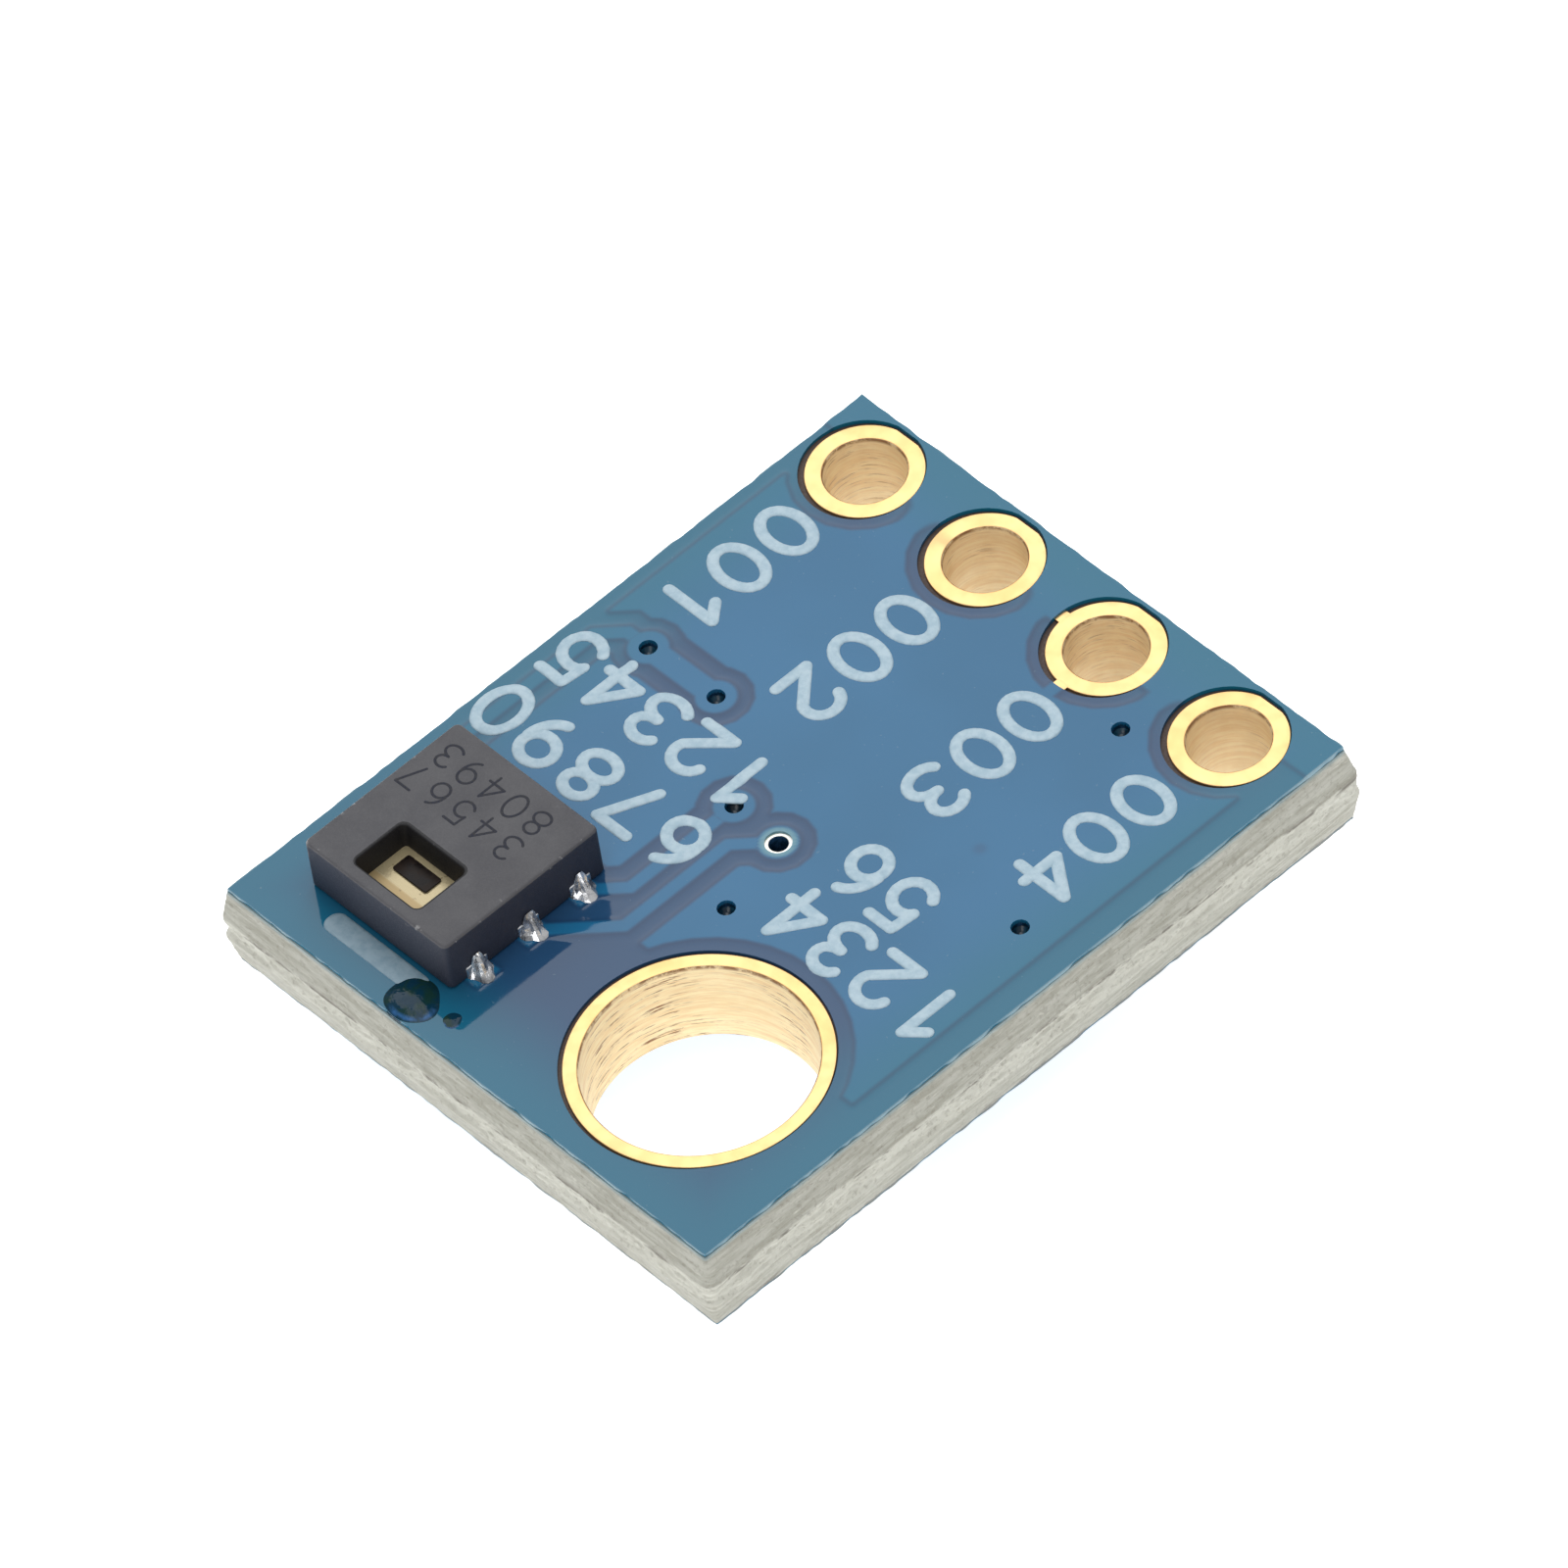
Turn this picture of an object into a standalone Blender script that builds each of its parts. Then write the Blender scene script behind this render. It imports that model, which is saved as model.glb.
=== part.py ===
"""Temperature and humidity sensor module: a small breakout board with its sensor, plated holes and underside parts.

The shapes are drawn in millimetres, which suits parts of a few hundredths of a millimetre, and each finished part
is brought to Blender's metres. X runs across the board, Y runs towards the header row, and Z is up. The origin is
under the middle of the board, at the lowest face of the parts on its underside.
"""

import math

import bmesh
import bpy
from mathutils import Matrix

MM = 0.001

# Board layers
BOARD_WIDTH = 10.09
BOARD_LENGTH = 12.49
LAMINATE = 1.44
COPPER = 0.035
MASK = 0.025
SEAT = 0.01

# Edges that were scored from both faces and then broken
SCORE_DEPTH = 0.5
SCORE_ANGLE = math.radians(30)

# Header row of plated holes
PIN_COUNT = 4
PIN_PITCH = 2.54
PIN_ROW_SHIFT = -0.14
PIN_ROW_INSET = 0.977
PIN_HOLE_RADIUS = 0.62
PIN_LAND_RADIUS = 0.89
PIN_LAND_FLAT = 0.845
PLATING = 0.03

# Mounting hole
MOUNT_X = 2.355
MOUNT_Y = -3.855
MOUNT_HOLE_RADIUS = 1.725
MOUNT_LAND_RADIUS = 1.957

# Plated vias
VIA_HOLE_RADIUS = 0.14
VIA_PLATING = 0.025
VIA_LAND_RADIUS = 0.3
VIA_DATA_SENSOR = (-3.82, 0.87)
VIA_DATA_HEADER = (-2.4, 0.89)
VIA_CLOCK = (-0.7, -0.335)
VIA_SUPPLY = (0.27, -0.375)
VIAS_GROUND = ((0.607, -1.704), (4.007, 0.849), (2.409, 4.34))

# Copper tracks and the gaps round them
TRACK = 0.2
TRACK_WIDE = 0.36
TRACK_GAP = 0.32
LAND_GAP = 0.28
POUR_MARGIN = 0.3
POUR_MARGIN_RIGHT = 0.475
POUR_END_Y = -2.95
SPOKE = 0.2
UNDER_GAP = 0.2
LANE_DATA_X = -4.6
LANE_SUPPLY_X = -0.24
LANE_DATA_UNDER_X = -2.525
LANE_CLOCK_UNDER_X = -1.05
LANE_RESISTORS_Y = 0.25
LANE_CAPACITOR_X = -1.35
CORNER = 0.345
CORNER_UNDER = 0.4
CORNER_SUPPLY_UNDER = 0.6

# Openings in the solder mask, which was printed a little off the copper
MASK_RELIEF = 0.065
MASK_SHIFT = (-0.03, -0.025)
MASK_RIM = 0.08
VIA_RING = 0.065
PAD_RELIEF = 0.03

# Sensor package
SENSOR_X = -2.7
SENSOR_Y = -3.86
SENSOR_SIDE = 3.0
SENSOR_HEIGHT = 0.9
SENSOR_EDGE = 0.05
SENSOR_CORNER = 0.1
SOLDER = 0.03
LEAD_PITCH = 1.0
LEAD_COUNT = 3
LEAD_WIDTH = 0.4
LEAD_LENGTH = 0.45
LEAD_HEIGHT = 0.2
LEAD_PROUD = 0.02
FILLET_REACH = 0.2
FILLET_HEIGHT = 0.26
FILLET_TOE = 0.02

# Window in the sensor's top, the die under it and its humidity film
WINDOW_WIDTH = 1.42
WINDOW_LENGTH = 1.1
WINDOW_SHIFT = (-0.01, -0.75)
WINDOW_CORNER = 0.14
WINDOW_DRAFT = 0.03
DIE_WIDTH = 1.7
DIE_LENGTH = 1.7
DIE_HEIGHT = 0.27
DIE_SHIFT = (-0.01, -0.5)
FILM_WIDTH = 0.71
FILM_LENGTH = 0.33
FILM_HEIGHT = 0.02
FILM_SHIFT = (-0.1, 0.13)
PADDLE_WIDTH = 1.5
PADDLE_LENGTH = 2.4
PADDLE_HEIGHT = 0.2

# Voltage regulator on the underside, with one lead on one side and two on the other
REGULATOR_X = 1.75
REGULATOR_Y = 2.6
REGULATOR_WIDTH = 1.3
REGULATOR_LENGTH = 2.9
REGULATOR_HEIGHT = 1.05
REGULATOR_LIFT = 0.05
REGULATOR_DRAFT = 0.06
REGULATOR_EDGE = 0.04
REGULATOR_SPAN = 2.4
REGULATOR_PITCH = 1.9
REGULATOR_LEAD_WIDTH = 0.4
REGULATOR_LEAD_THICK = 0.12
REGULATOR_FOOT = 0.35
REGULATOR_LEAD_ROOT = 0.2
REGULATOR_SHOULDER = 0.12
REGULATOR_SOLDER_REACH = 0.18
REGULATOR_SOLDER_HEIGHT = 0.14

# Chip capacitors and resistors on the underside: middle and turn of each
CHIP_LENGTH = 1.6
CHIP_WIDTH = 0.8
CAPACITOR_HEIGHT = 0.8
RESISTOR_HEIGHT = 0.45
CHIP_END = 0.3
CHIP_END_WALL = 0.02
CHIP_EDGE = 0.03
CHIP_SOLDER_REACH = 0.22
CHIP_SOLDER_CLIMB = 0.6
SOLDER_LAP = 0.01
PAD_SPARE = 0.04
ALONG_X = 0.0
ALONG_Y = math.pi / 2
INPUT_CAPACITOR_Y = 2.55
OUTPUT_CAPACITOR = (-0.4, 2.4, ALONG_Y)
SENSOR_CAPACITOR = (-2.4, -4.3, ALONG_X)
CLOCK_RESISTOR = (-1.75, 2.5, ALONG_Y)
DATA_RESISTOR = (-3.3, 2.5, ALONG_Y)

# Facets of the round shapes
PIN_STEPS = 28
MOUNT_STEPS = 36
VIA_STEPS = 10
PIN_GAP_STEPS = 20
VIA_GAP_STEPS = 14
CORNER_STEPS = 3

# Levels, from the lowest face of the underside up
COPPER_LOW = REGULATOR_HEIGHT + REGULATOR_LIFT + SEAT
LAMINATE_LOW = COPPER_LOW + COPPER + SEAT
LAMINATE_HIGH = LAMINATE_LOW + LAMINATE
COPPER_HIGH = LAMINATE_HIGH + SEAT + COPPER
SENSOR_BASE = COPPER_HIGH + SEAT + SOLDER + SEAT
THROUGH = 1.0

# Places worked out from the sizes above
HALF_WIDTH = BOARD_WIDTH / 2
HALF_LENGTH = BOARD_LENGTH / 2
PIN_ROW_Y = HALF_LENGTH - PIN_ROW_INSET
PIN_PLACES = [
    (PIN_ROW_SHIFT + (index - (PIN_COUNT - 1) / 2) * PIN_PITCH, PIN_ROW_Y) for index in range(PIN_COUNT)
]
PIN_DATA, PIN_CLOCK, PIN_GROUND, PIN_INPUT = PIN_PLACES
INPUT_CAPACITOR = (PIN_INPUT[0], INPUT_CAPACITOR_Y, ALONG_Y)
SENSOR_RIGHT = SENSOR_X + SENSOR_SIDE / 2
SENSOR_LEFT = SENSOR_X - SENSOR_SIDE / 2
LEAD_ROWS = [SENSOR_Y + (index - (LEAD_COUNT - 1) / 2) * LEAD_PITCH for index in range(LEAD_COUNT)]
VIAS_SIGNAL = (VIA_DATA_SENSOR, VIA_DATA_HEADER, VIA_CLOCK, VIA_SUPPLY)


def clear_scene():
    """Removes the objects and the data that the startup scene holds."""
    for obj in list(bpy.data.objects):
        bpy.data.objects.remove(obj, do_unlink=True)
    for collection in list(bpy.data.collections):
        bpy.data.collections.remove(collection)


def new_collection(name):
    collection = bpy.data.collections.new(name)
    bpy.context.scene.collection.children.link(collection)
    return collection


def finish_material(name, colour, roughness, metallic=0.0):
    """One Principled material with a colour, a roughness and a metallic value."""
    made = bpy.data.materials.new(name)
    made.use_nodes = True
    shader = made.node_tree.nodes["Principled BSDF"]
    shader.inputs["Base Color"].default_value = (*colour, 1.0)
    shader.inputs["Roughness"].default_value = roughness
    shader.inputs["Metallic"].default_value = metallic
    made.diffuse_color = (*colour, 1.0)
    return made


def draft_object(mesh, name="draft"):
    """A working object, still in millimetres, in the drafting collection."""
    obj = bpy.data.objects.new(name, mesh)
    bpy.data.collections["drafting"].objects.link(obj)
    obj.hide_render = True
    obj.display_type = "WIRE"
    return obj


def from_bmesh(shape):
    """Turns the faces of a working mesh outwards and hands it over as an object."""
    bmesh.ops.recalc_face_normals(shape, faces=shape.faces)
    mesh = bpy.data.meshes.new("draft")
    shape.to_mesh(mesh)
    shape.free()
    return draft_object(mesh)


def evaluated_mesh(obj):
    """The mesh of an object with its modifiers applied and its open seams welded."""
    bpy.context.view_layer.update()
    graph = bpy.context.evaluated_depsgraph_get()
    mesh = bpy.data.meshes.new_from_object(obj.evaluated_get(graph))
    shape = bmesh.new()
    shape.from_mesh(mesh)
    bmesh.ops.remove_doubles(shape, verts=shape.verts, dist=0.0005)
    bmesh.ops.dissolve_degenerate(shape, edges=shape.edges, dist=0.0005)
    bmesh.ops.recalc_face_normals(shape, faces=shape.faces)
    shape.to_mesh(mesh)
    shape.free()
    return mesh


def settle(obj):
    """Replaces an object's mesh by its evaluated one, so that the next step starts from a plain mesh."""
    mesh = evaluated_mesh(obj)
    obj.modifiers.clear()
    obj.data = mesh
    return obj


def combine(obj, tools, operation):
    """Cuts the tools from an object, or joins them to it, and removes them."""
    if not tools:
        return obj
    group = bpy.data.collections.new("tools")
    bpy.context.scene.collection.children.link(group)
    for tool in tools:
        group.objects.link(tool)
    boolean = obj.modifiers.new("combine", "BOOLEAN")
    boolean.operand_type = "COLLECTION"
    boolean.collection = group
    boolean.operation = operation
    boolean.solver = "EXACT"
    settle(obj)
    for tool in tools:
        bpy.data.objects.remove(tool, do_unlink=True)
    bpy.data.collections.remove(group)
    return obj


def cut(obj, tools):
    return combine(obj, tools, "DIFFERENCE")


def join(obj, tools):
    for tool in tools:
        combine(obj, [tool], "UNION")
    return obj


def block(x_range, y_range, z_range):
    """A box between two limits on each axis."""
    shape = bmesh.new()
    bmesh.ops.create_cube(shape, size=1.0)
    sizes = [high - low for low, high in (x_range, y_range, z_range)]
    middles = [(high + low) / 2 for low, high in (x_range, y_range, z_range)]
    bmesh.ops.scale(shape, vec=sizes, verts=shape.verts)
    bmesh.ops.translate(shape, vec=middles, verts=shape.verts)
    return from_bmesh(shape)


def plate(middle, sizes, z_range):
    """A box given by its middle and its width and length on the board."""
    (x, y), (width, length) = middle, sizes
    return block((x - width / 2, x + width / 2), (y - length / 2, y + length / 2), z_range)


def disc(middle, radius, z_range, steps):
    """An upright cylinder."""
    low, high = z_range
    shape = bmesh.new()
    bmesh.ops.create_cone(
        shape, cap_ends=True, segments=steps, radius1=radius, radius2=radius, depth=high - low
    )
    bmesh.ops.translate(shape, vec=(*middle, (low + high) / 2), verts=shape.verts)
    return from_bmesh(shape)


def arc(middle, radius, start, end, steps):
    """Points along a circle's arc from one angle to another."""
    return [
        (
            middle[0] + radius * math.cos(start + (end - start) * step / steps),
            middle[1] + radius * math.sin(start + (end - start) * step / steps),
        )
        for step in range(steps + 1)
    ]


def rounded_outline(width, length, radius):
    """A rectangle about the origin with rounded corners."""
    points = []
    for quarter, (side, end) in enumerate(((1, 1), (-1, 1), (-1, -1), (1, -1))):
        middle = (side * (width / 2 - radius), end * (length / 2 - radius))
        start = quarter * math.pi / 2
        points += arc(middle, radius, start, start + math.pi / 2, CORNER_STEPS)
    return points


def slab(outline, z_range):
    """A flat outline drawn as a filled 2D curve and extruded between two levels."""
    low, high = z_range
    curve = bpy.data.curves.new("outline", "CURVE")
    curve.dimensions = "2D"
    curve.fill_mode = "BOTH"
    curve.extrude = (high - low) / 2
    spline = curve.splines.new("POLY")
    spline.points.add(len(outline) - 1)
    for point, (x, y) in zip(spline.points, outline):
        point.co = (x, y, 0.0, 1.0)
    spline.use_cyclic_u = True
    drawing = draft_object(curve, "outline")
    mesh = evaluated_mesh(drawing)
    bpy.data.objects.remove(drawing, do_unlink=True)
    mesh.transform(Matrix.Translation((0.0, 0.0, (low + high) / 2)))
    return draft_object(mesh)


def moved(obj, x=0.0, y=0.0, z=0.0):
    obj.data.transform(Matrix.Translation((x, y, z)))
    return obj


def side_slab(outline, width):
    """An outline drawn in X and Z and given a width along Y."""
    obj = slab(outline, (-width / 2, width / 2))
    obj.data.transform(Matrix.Rotation(math.pi / 2, 4, "X"))
    return obj


def strip_outline(path, width):
    """The outline of a strip of even width along a path, with mitred corners and square ends."""
    directions = []
    for (ax, ay), (bx, by) in zip(path, path[1:]):
        length = math.dist((ax, ay), (bx, by))
        directions.append(((bx - ax) / length, (by - ay) / length))
    before = directions[:1] + directions
    after = directions + directions[-1:]
    left, right = [], []
    for (x, y), (ax, ay), (bx, by) in zip(path, before, after):
        spread = width / 2 / (1 + ax * bx + ay * by)
        shift_x, shift_y = -(ay + by) * spread, (ax + bx) * spread
        left.append((x + shift_x, y + shift_y))
        right.append((x - shift_x, y - shift_y))
    return right + left[::-1]


def strip(path, width, z_range):
    return slab(strip_outline(path, width), z_range)


def tapered(width, length, levels):
    """A block whose outline steps in or out by an inset at each level, made by extruding and scaling its top face."""
    first_level, inset = levels[0]
    shape = bmesh.new()
    bmesh.ops.create_grid(shape, x_segments=1, y_segments=1, size=0.5)
    bmesh.ops.scale(shape, vec=(width - 2 * inset, length - 2 * inset, 1.0), verts=shape.verts)
    bmesh.ops.translate(shape, vec=(0.0, 0.0, first_level), verts=shape.verts)
    face = shape.faces[:][0]
    for (level, inset), (before, old_inset) in zip(levels[1:], levels):
        made = bmesh.ops.extrude_face_region(shape, geom=[face])
        if before > first_level:
            bmesh.ops.delete(shape, geom=[face], context="FACES_ONLY")
        face = next(item for item in made["geom"] if isinstance(item, bmesh.types.BMFace))
        ratio = ((width - 2 * inset) / (width - 2 * old_inset), (length - 2 * inset) / (length - 2 * old_inset))
        bmesh.ops.scale(shape, vec=(*ratio, 1.0), verts=face.verts[:])
        bmesh.ops.translate(shape, vec=(0.0, 0.0, level - before), verts=face.verts[:])
    return from_bmesh(shape)


def turned(profile, steps):
    """A closed profile of radius and height turned once round the Z axis."""
    shape = bmesh.new()
    points = [shape.verts.new((radius, 0.0, height)) for radius, height in profile]
    for first, second in zip(points, points[1:] + points[:1]):
        shape.edges.new((first, second))
    obj = from_bmesh(shape)
    screw = obj.modifiers.new("turn", "SCREW")
    screw.steps = steps
    screw.render_steps = steps
    screw.use_merge_vertices = True
    screw.merge_threshold = 0.0001
    return settle(obj)


def eased(obj, width, segments=2):
    """Rounds the sharp edges of a shape."""
    bevel = obj.modifiers.new("ease", "BEVEL")
    bevel.width = width
    bevel.segments = segments
    bevel.limit_method = "ANGLE"
    bevel.angle_limit = math.radians(40)
    return settle(obj)


def part(name, obj, material, place=(0.0, 0.0, 0.0), turn=0.0, under=False):
    """Brings a drafted shape to metres and places it as a named part, turned over where it is on the underside."""
    mesh = obj.data
    bpy.data.objects.remove(obj, do_unlink=True)
    mesh.transform(Matrix.Scale(MM, 4))
    mesh.name = name
    mesh.shade_smooth()
    mesh.set_sharp_from_angle(angle=math.radians(35))
    mesh.materials.clear()
    mesh.materials.append(MATERIALS[material])
    return copy_of(name, mesh, place, turn, under)


def copy_of(name, mesh, place, turn=0.0, under=False):
    """A part that shows a finished mesh at a place given in millimetres."""
    made = bpy.data.objects.new(name, mesh)
    made.location = [value * MM for value in place]
    made.rotation_euler = (math.pi if under else 0.0, 0.0, turn)
    made.parent = bpy.data.objects["module_frame"]
    bpy.data.collections["temperature_humidity_sensor_module"].objects.link(made)
    return made


def lead_pad(side, row):
    """Middle and sizes of the copper pad under a sensor lead, on the side +1 or -1."""
    inner = SENSOR_SIDE / 2 - LEAD_LENGTH
    outer = SENSOR_SIDE / 2 + LEAD_PROUD + FILLET_REACH
    return (SENSOR_X + side * (inner + outer) / 2, row), (outer - inner, LEAD_WIDTH + PAD_SPARE)


def chip_pad(chip, end):
    """Middle and sizes of the copper pad under one end, +1 or -1, of a chip part."""
    x, y, turn = chip
    along_x, along_y = round(math.cos(turn)), round(math.sin(turn))
    inner = CHIP_LENGTH / 2 - CHIP_END - PAD_SPARE
    outer = CHIP_LENGTH / 2 + CHIP_SOLDER_REACH + PAD_SPARE
    across = CHIP_WIDTH + 2 * PAD_SPARE
    shift = end * (inner + outer) / 2
    sizes = (outer - inner, across) if along_x else (across, outer - inner)
    return (x + along_x * shift, y + along_y * shift), sizes


def regulator_pad(side, row):
    """Middle and sizes of the pad under a regulator lead, on the side +1 or -1, a row away from the middle."""
    inner = REGULATOR_SPAN / 2 - REGULATOR_FOOT - PAD_SPARE
    outer = REGULATOR_SPAN / 2 + REGULATOR_SOLDER_REACH + PAD_SPARE
    middle = (REGULATOR_X + side * (inner + outer) / 2, REGULATOR_Y + row)
    return middle, (outer - inner, REGULATOR_LEAD_WIDTH + 4 * PAD_SPARE)


def top_tracks():
    """Paths and pads of each signal on the top face."""
    front, middle, back = LEAD_ROWS
    turn_in = (SENSOR_LEFT - LANE_DATA_X) / 2
    x, y = VIA_DATA_SENSOR
    data_lane = [
        VIA_DATA_SENSOR,
        (LANE_DATA_X + CORNER, y),
        (LANE_DATA_X, y - CORNER),
        (LANE_DATA_X, back + turn_in),
        (LANE_DATA_X + turn_in, back),
        (SENSOR_LEFT, back),
    ]
    x, y = VIA_CLOCK
    clock = [VIA_CLOCK, (x, back + x - SENSOR_RIGHT), (SENSOR_RIGHT, back)]
    x, y = VIA_SUPPLY
    supply = [
        VIA_SUPPLY,
        (LANE_SUPPLY_X, y - x + LANE_SUPPLY_X),
        (LANE_SUPPLY_X, middle + LANE_SUPPLY_X - SENSOR_RIGHT),
        (SENSOR_RIGHT, middle),
    ]
    return {
        "data": ([(data_lane, TRACK), ([VIA_DATA_SENSOR, VIA_DATA_HEADER], TRACK_WIDE)], [lead_pad(-1, back)]),
        "clock": ([(clock, TRACK)], [lead_pad(1, back)]),
        "supply": ([(supply, TRACK)], [lead_pad(1, middle)]),
    }


def under_tracks():
    """Paths and pads of each signal on the underside."""
    output, ground_row = -REGULATOR_PITCH / 2, REGULATOR_PITCH / 2
    output_pad = regulator_pad(-1, output)
    feed_pad = regulator_pad(1, 0.0)
    input_pad = chip_pad(INPUT_CAPACITOR, 1)
    smooth_pad = chip_pad(OUTPUT_CAPACITOR, -1)
    sensor_pad = chip_pad(SENSOR_CAPACITOR, 1)
    clock_pads = [chip_pad(CLOCK_RESISTOR, end) for end in (-1, 1)]
    data_pads = [chip_pad(DATA_RESISTOR, end) for end in (-1, 1)]
    (out_x, out_y), (feed_x, feed_y) = output_pad[0], feed_pad[0]
    (low_x, low_y), (high_x, high_y) = clock_pads[0][0], clock_pads[1][0]
    (left_x, left_y), (up_x, up_y) = data_pads[0][0], data_pads[1][0]
    supply_x, supply_y = VIA_SUPPLY
    lane_y = supply_y - CORNER_SUPPLY_UNDER
    supply = [
        [output_pad[0], (supply_x, out_y - out_x + supply_x), VIA_SUPPLY],
        [output_pad[0], (smooth_pad[0][0], out_y)],
        [
            VIA_SUPPLY,
            (supply_x - CORNER_SUPPLY_UNDER, lane_y),
            (low_x + CORNER_UNDER, lane_y),
            (low_x, lane_y + CORNER_UNDER),
            (low_x, low_y),
        ],
        [(low_x, LANE_RESISTORS_Y), (left_x + CORNER_UNDER, LANE_RESISTORS_Y),
         (left_x, LANE_RESISTORS_Y + CORNER_UNDER), (left_x, left_y)],
        [(LANE_CAPACITOR_X, lane_y), (LANE_CAPACITOR_X, sensor_pad[0][1] + LANE_CAPACITOR_X - sensor_pad[0][0]),
         sensor_pad[0]],
    ]
    clock_x, clock_y = VIA_CLOCK
    climb = clock_x - LANE_CLOCK_UNDER_X
    shift = LANE_CLOCK_UNDER_X - PIN_CLOCK[0]
    clock = [
        [VIA_CLOCK, (LANE_CLOCK_UNDER_X, clock_y + climb), (LANE_CLOCK_UNDER_X, high_y + climb),
         (PIN_CLOCK[0], high_y + climb + shift), PIN_CLOCK],
        [(LANE_CLOCK_UNDER_X, high_y), (high_x, high_y)],
    ]
    via_x, via_y = VIA_DATA_HEADER
    side = via_x - LANE_DATA_UNDER_X
    lean = up_x - PIN_DATA[0]
    data = [
        [VIA_DATA_HEADER, (LANE_DATA_UNDER_X, via_y + side), (LANE_DATA_UNDER_X, up_y), (up_x, up_y)],
        [(up_x, up_y), (up_x, up_y + CORNER_UNDER), (PIN_DATA[0], up_y + CORNER_UNDER + lean), PIN_DATA],
    ]
    feed = [
        [PIN_INPUT, input_pad[0]],
        [feed_pad[0], (feed_x, input_pad[0][1]), input_pad[0]],
    ]
    supply_pads = [output_pad, smooth_pad, sensor_pad, clock_pads[0], data_pads[0]]
    return {
        "supply": ([(path, TRACK) for path in supply], supply_pads),
        "clock": ([(path, TRACK) for path in clock], [clock_pads[1]]),
        "data": ([(path, TRACK) for path in data], [data_pads[1]]),
        "input": ([(path, TRACK_WIDE) for path in feed], [feed_pad, input_pad]),
    }


def largest_body(obj):
    """Leaves out the islands of copper that connect to nothing."""
    shape = bmesh.new()
    shape.from_mesh(obj.data)
    left = set(shape.verts)
    bodies = []
    while left:
        body, edge = set(), [next(iter(left))]
        while edge:
            vert = edge.pop()
            if vert in body:
                continue
            body.add(vert)
            edge += [link.other_vert(vert) for link in vert.link_edges]
        bodies.append(body)
        left -= body
    main = max(bodies, key=len)
    bmesh.ops.delete(shape, geom=[vert for vert in shape.verts if vert not in main], context="VERTS")
    shape.to_mesh(obj.data)
    shape.free()
    return obj


def spokes(grow, z_range):
    """The bars that tie the ground land to the copper round it."""
    x, y = PIN_GROUND
    reach = PIN_LAND_RADIUS + LAND_GAP + SPOKE
    bar = SPOKE / 2 + grow
    across = block((x - reach, x + reach), (y - bar, y + bar), z_range)
    down = block((x - bar, x + bar), (y - reach, y), z_range)
    return [across, down]


def sensor_ground(grow, z_range):
    """Copper under the sensor: the pad under its paddle, and bars from there to the three ground leads."""
    front, middle, back = LEAD_ROWS
    half_width, half_length = PADDLE_WIDTH / 2 + grow, PADDLE_LENGTH / 2 + grow
    field = block(
        (SENSOR_X - half_width, SENSOR_X + half_width),
        (SENSOR_Y - half_length, max(SENSOR_Y + half_length, POUR_END_Y + SPOKE)),
        z_range,
    )
    pads = [field]
    for side, row in ((-1, middle), (-1, front), (1, front)):
        (x, y), (width, length) = lead_pad(side, row)
        pads.append(plate((x, y), (width + 2 * grow, length + 2 * grow), z_range))
        bar = (x - SENSOR_X) / 2
        pads.append(plate((SENSOR_X + bar, y), (2 * abs(bar), SPOKE + 2 * grow), z_range))
    return pads


def pour(face, grow, z_range):
    """The ground copper of one face, with the gaps round everything that isn't ground, grown by a margin."""
    top = face == "top"
    tracks = TRACKS[face]
    gap = (TRACK_GAP if top else UNDER_GAP) - grow
    margin = POUR_MARGIN - grow
    right = HALF_WIDTH - (POUR_MARGIN_RIGHT if top else POUR_MARGIN) + grow
    front = (POUR_END_Y if top else margin - HALF_LENGTH) - (grow if top else 0.0)
    copper = block((margin - HALF_WIDTH, right), (front, HALF_LENGTH - margin), z_range)
    through = (z_range[0] - THROUGH, z_range[1] + THROUGH)
    pin_gap = PIN_LAND_RADIUS + LAND_GAP - grow
    tools = [disc(place, pin_gap, through, PIN_GAP_STEPS) for place in PIN_PLACES]
    tools.append(disc((MOUNT_X, MOUNT_Y), MOUNT_LAND_RADIUS + LAND_GAP - grow, through, MOUNT_STEPS))
    tools += [disc(place, VIA_LAND_RADIUS + LAND_GAP - grow, through, VIA_GAP_STEPS) for place in VIAS_SIGNAL]
    for paths, pads in tracks.values():
        tools += [strip(path, width + 2 * gap, through) for path, width in paths]
        tools += [plate(middle, (x + 2 * gap, y + 2 * gap), through) for middle, (x, y) in pads]
    cut(copper, tools)
    largest_body(copper)
    added = spokes(grow, z_range) + (sensor_ground(grow, z_range) if top else [])
    return join(copper, added)


def track(paths, pads, grow, z_range):
    """One signal's tracks and pads in one piece of copper."""
    pieces = [strip(path, width + 2 * grow, z_range) for path, width in paths]
    pieces += [plate(middle, (x + 2 * grow, y + 2 * grow), z_range) for middle, (x, y) in pads]
    return join(pieces[0], pieces[1:])


def lands_cut(copper, z_range):
    """Clears a piece of copper from the lands of the plated holes, which are pieces of their own."""
    through = (z_range[0] - THROUGH, z_range[1] + THROUGH)
    tools = [disc(place, PIN_LAND_RADIUS + SEAT, through, PIN_STEPS) for place in PIN_PLACES]
    tools += [disc(place, VIA_LAND_RADIUS + SEAT, through, VIA_STEPS) for place in (*VIAS_SIGNAL, *VIAS_GROUND)]
    return largest_body(cut(copper, tools))


def copper_layer(face, z_range):
    """The ground copper and the tracks of one face."""
    part(f"ground_copper_{face}", lands_cut(pour(face, 0.0, z_range), z_range), "copper")
    for signal, (paths, pads) in TRACKS[face].items():
        copper = lands_cut(track(paths, pads, 0.0, z_range), z_range)
        part(f"{signal}_track_{face}", copper, "copper")


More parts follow.
